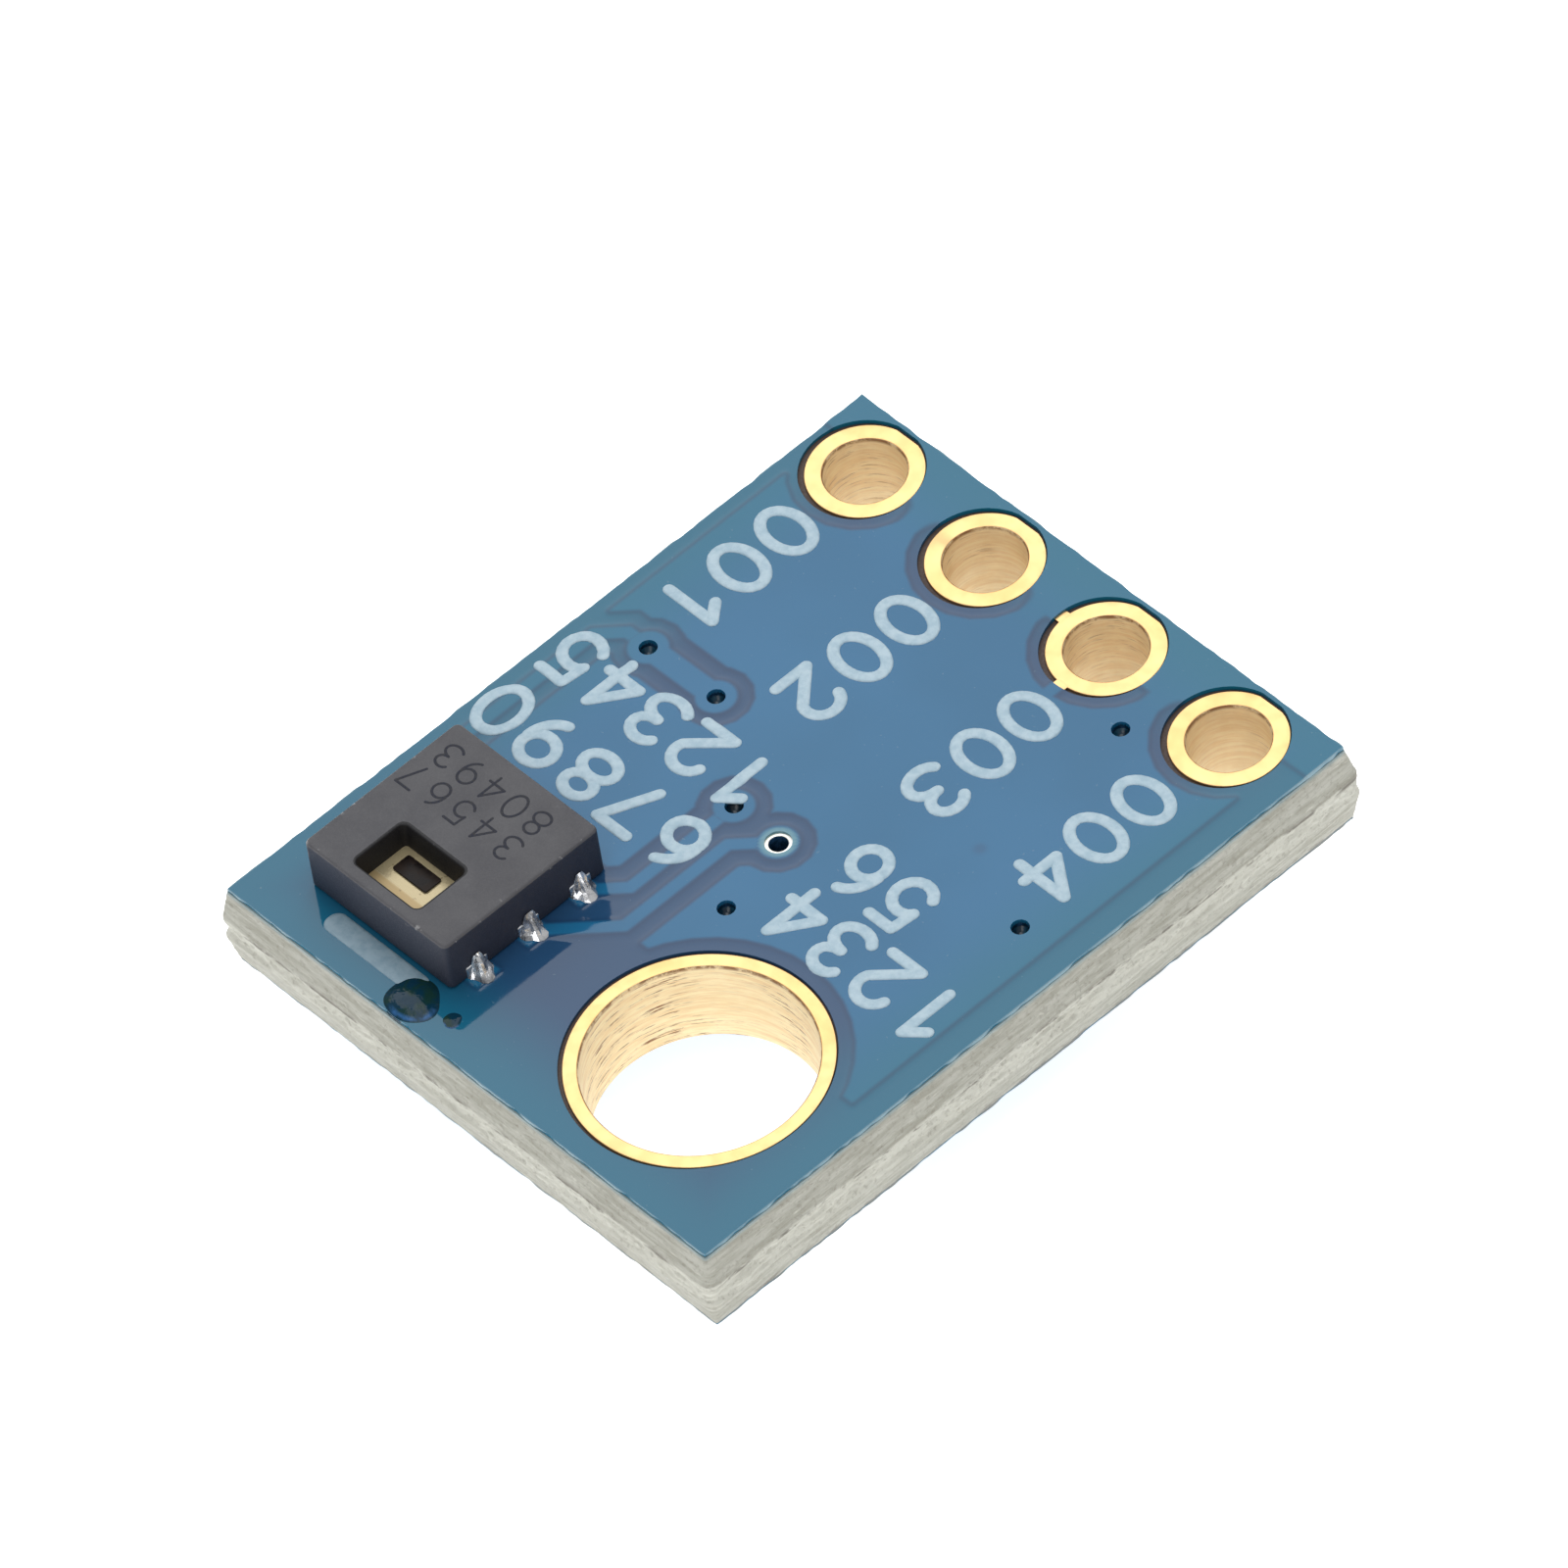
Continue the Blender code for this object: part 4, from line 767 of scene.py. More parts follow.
def flux_finish(colours):
    """Dried flux: a dark, glassy, slightly uneven drop with bits of green-brown and a blue crescent. Its dark colour is
    partly painted reflection of the sensor package, and the blue crescent is a painted reflection.
    """
    made = Finish("flux_residue", colours.flux)
    cloud, waves = made.noise(3.6, 4.0, distortion=0.4), made.noise(5.0, 3.0)
    made.cover(colours.flux_brown, cloud, (0.42, 0.62))
    # Painted reflection: the blue crescent near the drop's lower rim
    made.cover(colours.flux_glint, waves, (0.4, 0.6), within=made.value_of("crescent"))
    normal = made.bump(waves, 0.03, 0.8)
    return made.finished(roughness=made.rough(cloud, 0.05, 0.16), normal=normal, specular_ior_level=0.22)


def floor_finish(colours):
    """Plain pale paper, which glows a little so that it stays pale."""
    made = Finish("pale_floor", colours.floor)
    return made.finished(roughness=0.9, emission_color=colours.floor, emission_strength=0.8)


# ---------------------------------------------------------------- settings


def length(name, description, millimetres):
    """A setting that is a length."""
    return bpy.props.FloatProperty(
        name=name, description=description, default=millimetres * MM, unit="LENGTH", precision=6,
    )


def shade(name, description, red, green, blue):
    """A setting that is a colour."""
    return bpy.props.FloatVectorProperty(
        name=name, description=description, default=linear(red, green, blue), subtype="COLOR", min=0.0, max=1.0,
    )


def rows_of_numbers(name, description, default):
    """A setting that is rows of plain numbers."""
    return bpy.props.StringProperty(name=name, description=description, default=default)


class BoardSettings(bpy.types.PropertyGroup):
    mask_cell: length("Mask cell", "Side of a cell of the mask's surface", 0.04)
    mask_step: length("Mask step", "How much higher the mask is over copper", 0.018)
    mask_ramp: length("Mask ramp", "Width of the slope beside the copper", 0.13)
    mask_wander: length("Mask wander", "How far the mask's rim strays from a straight line", 0.03)
    opening_gap: length("Opening gap", "Bare ring between a header land and the mask", 0.052)
    mount_gap: length("Mounting opening gap", "Bare ring between the mounting land and the mask", 0.04)
    opening_shift_x: length("Opening shift X", "How far the mask's openings lie off the lands along X", -0.03)
    opening_shift_y: length("Opening shift Y", "How far the mask's openings lie off the lands along Y", -0.025)
    halo: length("Halo", "Radius of the thin lacquer round the open via", 0.3)
    blemish_x: length("Blemish X", "Place of the faint mark in the top mask along X", 2.52)
    blemish_y: length("Blemish Y", "Place of the faint mark in the top mask along Y", 1.465)
    joint_track: length("Joint track", "Width of the track between the two data vias", 0.38)
    score_depth: length("Score depth", "Depth of the score in each face", 0.5)
    break_roughness: length("Break roughness", "Height of the torn fibres on the broken edge", 0.05)


class HoleSettings(bpy.types.PropertyGroup):
    pin_radius: length("Header hole radius", "Radius of a plated header hole", 0.62)
    pin_land: length("Header land radius", "Radius of a header hole's land", 0.89)
    pin_flat: length("Header land flat", "From a header hole's middle to its land's flat side", 0.845)
    mount_radius: length("Mounting hole radius", "Radius of the plated mounting hole", 1.725)
    mount_land: length("Mounting land radius", "Radius of the mounting hole's land", 1.957)
    via_radius: length("Via radius", "Radius of a via's hole", 0.14)
    via_ring: length("Bare via ring", "Bare ring round the one via that the mask leaves open", 0.065)
    land_thick: length("Land thickness", "Thickness of the copper of a land", 0.035)
    land_edge: length("Land edge", "Radius of a land's rounded edges", 0.016)


class SensorSettings(bpy.types.PropertyGroup):
    edge: length("Top edge", "Radius of the package's top edge", 0.05)
    corner: length("Corner", "Radius of the package's upright corners", 0.1)
    window_x: length("Window width", "Width of the window at the top", 1.42)
    window_y: length("Window length", "Length of the window at the top", 1.03)
    window_shift_x: length("Window shift X", "Window's middle from the package's middle along X", -0.01)
    window_shift_y: length("Window shift Y", "Window's middle from the package's middle along Y", -0.785)
    window_corner: length("Window corner", "Radius of the window's corners", 0.14)
    window_draft: length("Window draft", "How far the window's walls lean in", 0.05)
    solder_reach: length("Solder reach", "How far solder stands out from the package", 0.31)
    solder_height: length("Solder height", "Height of the solder at the package", 0.4)


class PrintSettings(bpy.types.PropertyGroup):
    stroke: length("Stroke", "Width of a printed stroke", 0.19)
    ink_height: length("Ink height", "Height of the ink over the mask", 0.018)
    pin_labels: rows_of_numbers("Pin labels", "Plain numbers beside the header holes", "001 002 003 004")
    printed_rows: rows_of_numbers("Printed rows", "Plain numbers in the two long and two short rows",
                                  "12345 67890 1234 56")
    engraved_rows: rows_of_numbers("Engraved rows", "Plain numbers on the package's top", "34567 80493")


class ColourSettings(bpy.types.PropertyGroup):
    mask_over_copper: shade("Mask over copper", "Lacquer over copper", 34, 108, 152)
    mask_over_copper_shade: shade("Mask over copper, shaded", "Lacquer over copper in its darker clouds", 26, 102, 144)
    mask_over_laminate: shade("Mask over laminate", "Lacquer where no copper lies under it", 38, 76, 114)
    # Painted reflection: greener lacquer towards the board's edge
    mask_edge_reflection: shade("Mask near the edge", "Greener lacquer towards the board's edge", 16, 108, 136)
    mask_line: shade("Mask line", "Lacquer in the shade of a copper edge", 26, 56, 92)
    mask_rim: shade("Mask rim", "Lacquer broken at the board's rim", 126, 156, 166)
    laminate: shade("Laminate", "Glass fibre and resin", 183, 183, 173)
    laminate_dark: shade("Laminate, dark", "Darker layers of the laminate", 158, 157, 145)
    # Also lightens the broken web against the painted shade of the score slopes
    laminate_pale: shade("Laminate, pale", "Torn fibres of the laminate", 210, 210, 199)
    laminate_streak: shade("Laminate streak", "Dark dashes in the laminate", 128, 124, 112)
    laminate_line: shade("Laminate line", "Dark dashes at the foot of the score", 110, 106, 97)
    # Painted shade: laminate seen in the gap round a land
    laminate_in_painted_shade: shade("Laminate, bare", "Laminate in the gap between a land and the mask", 78, 64, 58)
    gold: shade("Gold", "Gold plating", 236, 196, 138)
    gold_shade: shade("Gold, dull", "Dull patches of the gold plating", 230, 188, 128)
    barrel: shade("Barrel", "Plating inside a hole", 255, 242, 204)
    barrel_shade: shade("Barrel, shaded", "Darker rings inside a hole", 244, 220, 176)
    barrel_smudge: shade("Barrel smudge", "Dull clouds inside a hole", 206, 172, 122)
    # Dark drill marks, and also the painted shade just under a land
    drill_streak_and_rim_shade: shade("Barrel streak", "Dark drill marks inside a hole", 126, 74, 28)
    via_inside: shade("Via inside", "Inside of a tented via", 14, 44, 62)
    via_glint: shade("Via glint", "Lacquer run into a via, where it is clear", 16, 70, 92)
    via_ring: shade("Via ring", "Tinned ring of the via that the mask leaves open", 240, 238, 224)
    via_halo: shade("Via halo", "Thin lacquer round the open via", 128, 172, 176)
    package: shade("Package", "Top of the moulded package", 84, 84, 88)
    package_shade: shade("Package, shaded", "Darker clouds of the package", 74, 74, 79)
    # Painted shade on the sensor's sides, darker than its top; also the regulator's moulding and clouds in the
    # engraving
    side_shade_and_dark_moulding: shade("Package side", "Sides of the package", 41, 45, 60)
    # Painted shade in the sensor's window; also dark clouds in the regulator and resistors
    window_shade_and_dark_clouds: shade("Window wall", "Walls of the package's window", 22, 22, 26)
    filler_grain: shade("Filler grain", "Pale grains in the moulding compound", 120, 120, 124)
    # Partly painted highlights on the package's edges
    chips_and_edge_highlights: shade("Chipped edge", "Pale marks along the package's edges", 168, 168, 170)
    engraving: shade("Engraving", "Laser marks", 46, 46, 50)
    die: shade("Die", "Plated face of the die", 176, 154, 112)
    die_bright: shade("Die, bright", "Bright bands of the die", 186, 172, 136)
    die_pit: shade("Die pit", "Pits in the die's plating", 120, 104, 76)
    film: shade("Film", "Humidity film", 20, 15, 15)
    film_shade: shade("Film, brown", "Brown cast of the humidity film", 38, 28, 22)
    solder: shade("Solder", "Solder", 250, 251, 253)
    solder_shade: shade("Solder, dull", "Frosted solder", 224, 226, 230)
    solder_dark: shade("Solder, dark", "Dark reflections in solder", 116, 118, 124)
    tin: shade("Tin", "Tinned leads", 206, 208, 210)
    ink: shade("Ink", "Printed ink", 188, 210, 222)
    ink_thin: shade("Ink, thin", "Printed ink where it is thin", 162, 190, 206)
    # Dried flux, its darkness partly a painted reflection of the package
    flux: shade("Flux", "Dried flux", 10, 50, 70)
    flux_brown: shade("Flux, brown", "Green-brown bits in the flux", 22, 54, 50)
    # Painted reflection in the flux drop
    flux_glint: shade("Flux glint", "Blue crescent in the flux", 50, 98, 150)
    capacitor: shade("Capacitor", "Ceramic of the capacitors", 150, 116, 84)
    capacitor_shade: shade("Capacitor, shaded", "Darker grains of the capacitors", 126, 96, 68)
    resistor: shade("Resistor", "Glazed face of the resistors", 34, 34, 38)
    bar: shade("Bar", "Printed bar", 142, 166, 180)
    bar_thin: shade("Bar, thin", "Printed bar where it is thin", 122, 150, 166)
    floor: shade("Floor", "Plain pale floor", 250, 250, 250)


SETTINGS = {
    "board": BoardSettings, "holes": HoleSettings, "sensor": SensorSettings, "marks": PrintSettings,
    "colours": ColourSettings,
}


def settings(group):
    """A settings group of the scene."""
    return getattr(bpy.context.scene, f"module_{group}")


def sizes(group):
    """A settings group's lengths in millimetres, by name."""
    held = settings(group)
    return {key: getattr(held, key) / MM for key in held.__annotations__ if isinstance(getattr(held, key), float)}


# ---------------------------------------------------------------- pieces


def mask_openings(board, holes):
    """Middle, radius and furthest Y of each round opening in a face's mask."""
    shift = np.array((board["opening_shift_x"], board["opening_shift_y"]))
    radius = holes["pin_land"] + board["opening_gap"]
    found = [(*hole_middle(name, holes) + shift, radius, HEADER_OPENING_LIMIT) for name in HEADER_HOLES]
    radius = holes["mount_land"] + board["mount_gap"]
    found.append((*hole_middle("mounting_hole", holes) + shift / 2, radius, math.inf))
    for name in VIAS:
        ring = holes["via_ring"] if name == OPEN_VIA else 0.0
        found.append((*hole_middle(name, holes), holes["via_radius"] + ring, math.inf))
    return found


def make_mask(face):
    """One face's mask, with what its finish needs at each point: the depth inside the copper, the distance from the
    board's edge, the thin lacquer's share round the open via, and the faint mark's share, which falls as a bell
    curve on both sides of a small ring."""
    board, colours, top = sizes("board"), settings("colours"), face == "top"
    relief = Relief(face, board)
    sheet = holed_sheet(
        board["mask_cell"], mask_openings(board, sizes("holes")), relief.height, board["mask_wander"],
    )
    points, faces = closed_below(sheet, (BOARD_HIGH if top else BOARD_LOW)[2] + relief.up * MASK_BACK_GAP)
    x, y = points[:, 0], points[:, 1]
    via_x, via_y = middle_mm(OPEN_VIA)[:2]
    halo = smooth_step((board["halo"] - np.hypot(x - via_x, y - via_y)) / HALO_BLEND)
    apart = np.hypot(x - board["blemish_x"], y - board["blemish_y"])
    values = {
        "copper": np.clip(relief.depth(x, y), -COPPER_REACH, COPPER_REACH),
        "rim": np.minimum(MASK_HIGH[0] - np.abs(x), MASK_HIGH[1] - np.abs(y)),
        "halo": HALO_SHARE * halo * top,
        "blemish": BLEMISH_SHARE * np.exp(-((apart - BLEMISH_RING) / BLEMISH_BLEND) ** 2) * top,
    }
    finish = mask_finish(colours, colours.mask_rim if top else colours.laminate_streak)
    make_piece(f"mask_{face}", (points, faces), [finish], "solder_mask", [f"solder_mask_{face}"], values=values)


class MODULE_OT_mask(bpy.types.Operator):
    """The blue solder mask of both faces, as one smooth coat each that steps over the copper."""

    bl_idname = "module.mask"
    bl_label = "Solder mask"

    def execute(self, context):
        make_mask("top")
        make_mask("under")
        return {"FINISHED"}


def torn_band(board):
    """The board's edge: a profile that slopes out to the score's depth, runs straight and slopes back, carried round
    the board. Smooth noise of three sizes moves the straight, torn part along its outward direction, and a much finer
    one moves the rest, both less towards the faces."""
    half_x, half_y = MASK_HIGH[:2]
    out, top, low, depth = BOARD_HIGH[0] - half_x, BOARD_HIGH[2], BOARD_LOW[2], board["score_depth"]
    slope_steps, web_steps, corner = 15, 17, 0.03
    ring, ways = rounded_rectangle(half_x, half_y, corner, bend=4, side=290)
    share = np.linspace(0, 1, web_steps + 2)[1:-1]
    profile = np.vstack([
        np.linspace((0, top), (out, top - depth), slope_steps),
        np.column_stack([np.full(web_steps, out), top - depth - share * (top - low - 2 * depth)]),
        np.linspace((out, low + depth), (0, low), slope_steps),
    ])[::-1]
    band = carried(ring, ways, profile)
    step = np.hypot(*np.diff(ring, axis=0, append=ring[:1]).T)
    along = np.concatenate([[0], np.cumsum(step)[:-1]])[None, :]
    level = profile[:, 1:]
    torn = smooth_step((top - level - depth - 0.06) / 0.08) * smooth_step((level - low - depth - 0.02) / 0.08)
    rough = (
        0.55 * lattice_noise(along * 2.2, level * 5.0, 11) + 0.3 * lattice_noise(along * 7.0, level * 14.0, 12)
        + 0.3 * lattice_noise(along * 19.0, level * 30.0, 13)
    )
    fine = 0.006 * lattice_noise(along * 1.5, level * 40.0, 14) + 0.004 * lattice_noise(along * 16, level * 22, 15)
    inner = smooth_step(np.minimum(top - level, level - low) / 0.05)
    move = inner * (torn * board["break_roughness"] * (rough - 0.45) + fine)
    band[..., :2] += move[..., None] * ways[None, :, :]
    return band.reshape(-1, 3), grid_faces(len(profile), len(ring), around=True).tolist()


class MODULE_OT_laminate(bpy.types.Operator):
    """The glass-fibre board with its scored and torn edge."""

    bl_idname = "module.laminate"
    bl_label = "Laminate"

    def execute(self, context):
        board, holes = sizes("board"), sizes("holes")
        wells = [
            (*hole_middle(name, holes), holes[f"{kind}_radius"] + gap, steps)
            for names, kind, gap, steps in (
                (HEADER_HOLES, "pin", 0.04, 64), (["mounting_hole"], "mount", 0.04, 96), (VIAS, "via", 0.035, 20),
            )
            for name in names
        ]
        points, faces = filled_board(torn_band(board), wells)
        top, low, depth = BOARD_HIGH[2], BOARD_LOW[2], board["score_depth"]
        level, middle_level = points[:, 2], (points[:, 2] - low) / (top - low)
        away = np.max(np.abs(points[:, :2]) - MASK_HIGH[:2], axis=1)
        upper_foot = np.exp(-((top - depth - 0.04 - level) / 0.045) ** 2)
        lower_foot = 0.8 * np.exp(-((level - low - 0.02) / 0.05) ** 2)
        values = {
            # 1 on the torn web and 0 on the slopes, which keep the darker colour as painted shade
            "broken": smooth_step((0.5 - np.abs(middle_level - 0.5) - depth / (top - low) + 0.03) / 0.06),
            "fringe": smooth_step((level - top + 0.07) / 0.07) * (away > -0.02),
            "foot": np.maximum(upper_foot, lower_foot) * (away > -0.01),
        }
        make_piece(
            "board_laminate", (points, faces), [laminate_finish(settings("colours"))], "laminate", ["laminate_board"],
            values=values, crease=60,
        )
        return {"FINISHED"}


def plated_hole(middle, hole, land, steps, edge, thick, flat=math.inf):
    """A plated hole as a closed ring: the profile of its lands and bore turned about its middle. The land's reach is
    cut at a flat side: r becomes the smaller of r and flat / sin a. The second result is 1 for each face of the
    bore."""
    low, high = (corner[2] for corner in box_mm("header_hole_1"))
    plating, soft = 0.03, edge * 2
    wall = hole + plating
    profile = np.vstack([
        quarter((land - edge, low), (land, low + edge), 3, turned=True),
        [(land, low + thick), (wall, low + thick), (wall, high - thick), (land, high - thick)],
        quarter((land, high - edge), (land - edge, high), 3),
        [((land + hole) / 2, high)],
        quarter((hole + soft, high), (hole, high - soft), 5, turned=True),
        np.column_stack([np.full(9, hole), np.linspace(high - soft, low + soft, 11)[1:-1]]),
        quarter((hole, low + soft), (hole + soft, low), 5),
    ])
    ways = circle(steps)
    out = profile[:, :1]
    limit = flat / np.maximum(ways[:, 1], 0.05)
    reach = np.minimum(out * np.ones(steps), limit - (land - out) * (out > land - edge))
    heights = np.broadcast_to(profile[:, None, 1:], (*reach.shape, 1))
    skin = tube(np.concatenate([reach[..., None] * ways + middle, heights], axis=2), ends=True)
    near = np.abs(profile[:, 0] - hole) < edge
    bore = near & np.roll(near, -1)
    return skin, np.repeat(bore.astype(int), steps)


def spoke(middle, reach, way, top):
    """A short ear of a land, tied to the ground copper: a soft block out from the middle, level with the land."""
    half_long, half_wide, half_thick, under = 0.07, 0.11, 0.0125, 0.012
    centre = (*middle + np.array(way) * reach, top - under)
    return soft_block(centre, (*np.where(way, half_long, half_wide), half_thick), edge=0.004, corner=0.012)


class MODULE_OT_holes(bpy.types.Operator):
    """The plated header holes, the mounting hole and the vias."""

    bl_idname = "module.holes"
    bl_label = "Plated holes"

    def execute(self, context):
        holes, colours = sizes("holes"), settings("colours")
        gold = gold_finish(colours)
        barrel = barrel_finish(colours, "header_barrel", streaks=0.6, dull=0.42)
        wide_barrel = barrel_finish(colours, "mounting_barrel", streaks=1.0, dull=0.12)
        inside = clouded_finish("via_barrel", colours.via_inside, colours.mask_over_laminate)
        tinned = metal_finish("tinned_ring", colours.via_ring, colours.tin, (0.3, 0.45))
        edge, thick = holes["land_edge"], holes["land_thick"]
        for name in HEADER_HOLES:
            middle, top, land = hole_middle(name, holes), box_mm(name)[1][2], holes["pin_land"]
            skin, kinds = plated_hole(middle, holes["pin_radius"], land, 96, edge, thick, holes["pin_flat"])
            if name == SPOKED_HOLE:
                spokes = [spoke(middle, land + SPOKE_REACH, way, top) for way in ((-1, 0), (0, -1))]
                kinds = np.append(kinds, np.zeros(sum(len(faces) for _, faces in spokes), dtype=int))
                skin = joined([skin, *spokes])
            side_x, side_y = (skin[0][:, :2] - middle).T
            turned = np.arctan2(side_y, side_x) - math.radians(SCUFF_TURN)
            scuff = np.exp(-(turned / SCUFF_WIDTH) ** 2) * (name == SCUFFED_HOLE) * (skin[0][:, 2] > top - 0.002)
            make_piece(f"plated_{name}", skin, [gold, barrel], "gold", [name], kinds, {"scuff": scuff})
        middle = hole_middle("mounting_hole", holes)
        skin, kinds = plated_hole(middle, holes["mount_radius"], holes["mount_land"], 160, edge, thick)
        make_piece("plated_mounting_hole", skin, [gold, wide_barrel], "gold", ["mounting_hole"], kinds)
        bowl = [(-0.13, 0.0), (-0.09, 0.012), (-0.04, 0.04), (0, 0.09), (0, -0.02), (-0.1, -0.04)]
        plugs = []
        for name in VIAS:
            middle = hole_middle(name, holes)
            skin, kinds = plated_hole(middle, holes["via_radius"], land_radius(name), 32, edge * 0.6, thick)
            ring = tinned if name == OPEN_VIA else gold
            make_piece(f"plated_{name}", skin, [ring, inside], "gold", [name], kinds)
            if name != OPEN_VIA:
                rings = carried(circle(20) * (holes["via_radius"] - 0.005), circle(20), bowl)
                plugs.append(tube(rings[::-1] + (*middle, MASK_HIGH[2] - PLUG_DEPTH)))
        plug = clouded_finish("via_plug", colours.via_inside, colours.via_glint)
        make_piece("via_plugs", joined(plugs), [plug], "solder_mask", crease=60)
        for name in TOP_COPPER + UNDER_COPPER:
            refinish(name, gold)
        return {"FINISHED"}


class MODULE_OT_sensor_body(bpy.types.Operator):
    """The sensor's moulded body with the window in its top: the side's profile carried round the body, the top
    stretched evenly from its edge to the window's, and the window's lip and wall carried down to the die."""

    bl_idname = "module.sensor_body"
    bl_label = "Sensor body"

    def execute(self, context):
        size, colours = sizes("sensor"), settings("colours")
        middle = (BODY_LOW + BODY_HIGH) / 2
        half_x, half_y = (BODY_HIGH - BODY_LOW)[:2] / 2
        edge, top, low, lip = size["edge"], BODY_HIGH[2], BODY_LOW[2], 0.03
        foot, floor = low + 0.02, DIE_HIGH[2] - 0.02
        outside = carried(*rounded_rectangle(half_x, half_y, size["corner"], 8, 12), np.vstack([
            quarter((-0.02, low), (0, foot), 2, turned=True),
            np.column_stack([np.zeros(8), np.linspace(foot, top - edge, 10)[1:-1]]),
            quarter((0, top - edge), (-edge, top), 6),
        ]))
        inner, ways = rounded_rectangle(size["window_x"] / 2, size["window_y"] / 2, size["window_corner"], 8, 12)
        wall = np.linspace((-lip, top - lip), (-lip - size["window_draft"], floor), 7)[1:]
        inside = carried(
            inner + (size["window_shift_x"], size["window_shift_y"]), ways,
            np.vstack([quarter((0, top), (-lip, top - lip), 4, turned=True), wall]),
        )
        share = np.append(np.linspace(0, 0.94, 9)[1:], 0.985)[:, None, None]
        across = outside[-1:] * (1 - share) + inside[:1] * share
        rings = np.concatenate([outside, across, inside]) + (*middle[:2], 0)
        points, faces = tube(rings)
        side_rows = 12
        row = np.arange(len(rings) - 1)
        kind = np.where(row < side_rows, 1, np.where(row >= len(outside) + len(across) - 1, 2, 0))
        kinds = np.append(np.repeat(kind, rings.shape[1]), [1, 2])
        # Painted shade: the sides get a darker colour than the top, and the window's lip and walls a near-black one for
        # the shade in the recess
        finishes = [
            moulding_finish(colours, "moulded_top", colours.package, colours.package_shade),
            moulding_finish(colours, "moulded_side_painted_shade", colours.side_shade_and_dark_moulding, colours.side_shade_and_dark_moulding),
            moulding_finish(colours, "window_wall_painted_shade", colours.window_shade_and_dark_clouds, colours.window_shade_and_dark_clouds),
        ]
        side_x, side_y, level = (points - (*middle[:2], top)).T
        out = np.maximum(np.abs(side_x) - half_x, np.abs(side_y) - half_y)
        apart = np.hypot(side_x + half_x - 0.03, side_y + half_y - 0.03)
        # The top edge and one upright corner get pale marks, partly painted highlights
        values = {
            "worn_and_highlit_edge": np.exp(-((out + 0.02) / 0.03) ** 2) * np.exp(-((level + 0.02) / 0.04) ** 2),
            "scratch_and_highlit_corner": np.exp(-(apart / 0.04) ** 2) * smooth_step((level + 0.32) / 0.08),
        }
        make_piece("sensor_package", (points, faces), finishes, "package", ["sensor_body"], kinds, values)
        return {"FINISHED"}


class MODULE_OT_sensor_die(bpy.types.Operator):
    """The plated die at the bottom of the window, its top stretched evenly to the film's middle, and its film."""

    bl_idname = "module.sensor_die"
    bl_label = "Sensor die"

    def execute(self, context):
        colours = settings("colours")
        middle, half = (DIE_LOW + DIE_HIGH) / 2, (DIE_HIGH - DIE_LOW) / 2
        film_middle, film_half = (FILM_LOW + FILM_HIGH) / 2, (FILM_HIGH - FILM_LOW) / 2
        low, high, edge, corner = DIE_LOW[2], DIE_HIGH[2], 0.01, 0.05
        levels = np.vstack([[(0, low), (0, high - edge)], quarter((0, high - edge), (-edge, high), 2)[1:]])
        sides = carried(*rounded_rectangle(*half[:2], corner, 6, 20), levels) + (*middle[:2], 0)
        rim = rounded_rectangle(*film_half[:2] + corner, corner, 6, 20)
        centre = carried(*rim, [(0, high)]) + (*film_middle[:2], 0)
        share = np.linspace(0, 1, 22)[1:, None, None]
        points, faces = tube(np.concatenate([sides, sides[-1:] * (1 - share) + centre * share]))
        gap = np.max(np.abs(points[:, :2] - film_middle[:2]) - film_half[:2], axis=1)
        band = smooth_step((0.12 - np.abs(gap - 0.1)) / 0.08)
        finish = die_finish(colours)
        make_piece("sensor_die_face", (points, faces), [finish], "die", ["sensor_die"], values={"band": band})
        film = clouded_finish("humidity_film", colours.film, colours.film_shade, specular_ior_level=0.15)
        skin = soft_block(film_middle, film_half, edge=0.008, corner=0.04)
        make_piece("sensor_film", skin, [film], "film", ["humidity_film"])
        refinish("sensor_paddle", metal_finish("tinned_paddle", colours.tin, colours.solder_shade, (0.3, 0.45)))
        return {"FINISHED"}


def solder_fillet(side, x, y, level, reach, height, seed):
    """Solder between a lead and its pad: a half cone about the foot of the lead's end, which sinks inwards between a
    few ridges. Along each ray its height falls as (1 - s)^1.15 with shallow dents, and the rays' reach is a star with
    points at the two sides and the toe. The back is flat against the package."""
    half_width, foot, buried = 0.215, 0.03, 0.02
    angles = np.radians(np.linspace(-90, 90, 13))
    star = 0.7 + 0.3 * np.abs(np.cos(2 * angles + 0.35 * math.sin(seed * 2.3))) ** 0.8
    wide = np.hypot(reach * np.cos(angles), half_width * np.sin(angles)) * star
    s = np.linspace(0, 1, 6)[:, None]
    dents = lattice_noise(angles * 2.3 + seed * 7.1, s * 2.6 + seed * 3.3, 20)
    lift = (1 - s) ** 1.15 * (1 + 0.55 * dents * np.sin(s * math.pi))
    place_x = x + side * (wide * s * np.cos(angles) + 0.02 * (1 - s))
    place_y = y + np.sin(angles) * (wide * s + 0.056 * (1 - s)) + 0.02 * math.sin(seed)
    upper = np.stack([place_x, place_y, level + foot + (height - foot) * lift], axis=-1)
    low = np.stack([place_x[-1], place_y[-1], np.full(angles.shape, level - buried)], axis=-1)
    back = low.copy()
    back[:, 0] = x - side * buried
    rings = np.concatenate([upper, low[None], back[None]])
    rows, count = rings.shape[:2]
    numbers = np.arange(rows * count).reshape(rows, count)
    ends = [numbers[:, 0], numbers[::-1, -1], np.append(numbers[0, ::-1], numbers[-1])]
    faces = grid_faces(rows, count).tolist() + [end.tolist() for end in ends]
    return read_back(drafted((rings.reshape(-1, 3), faces)), triangles=True)


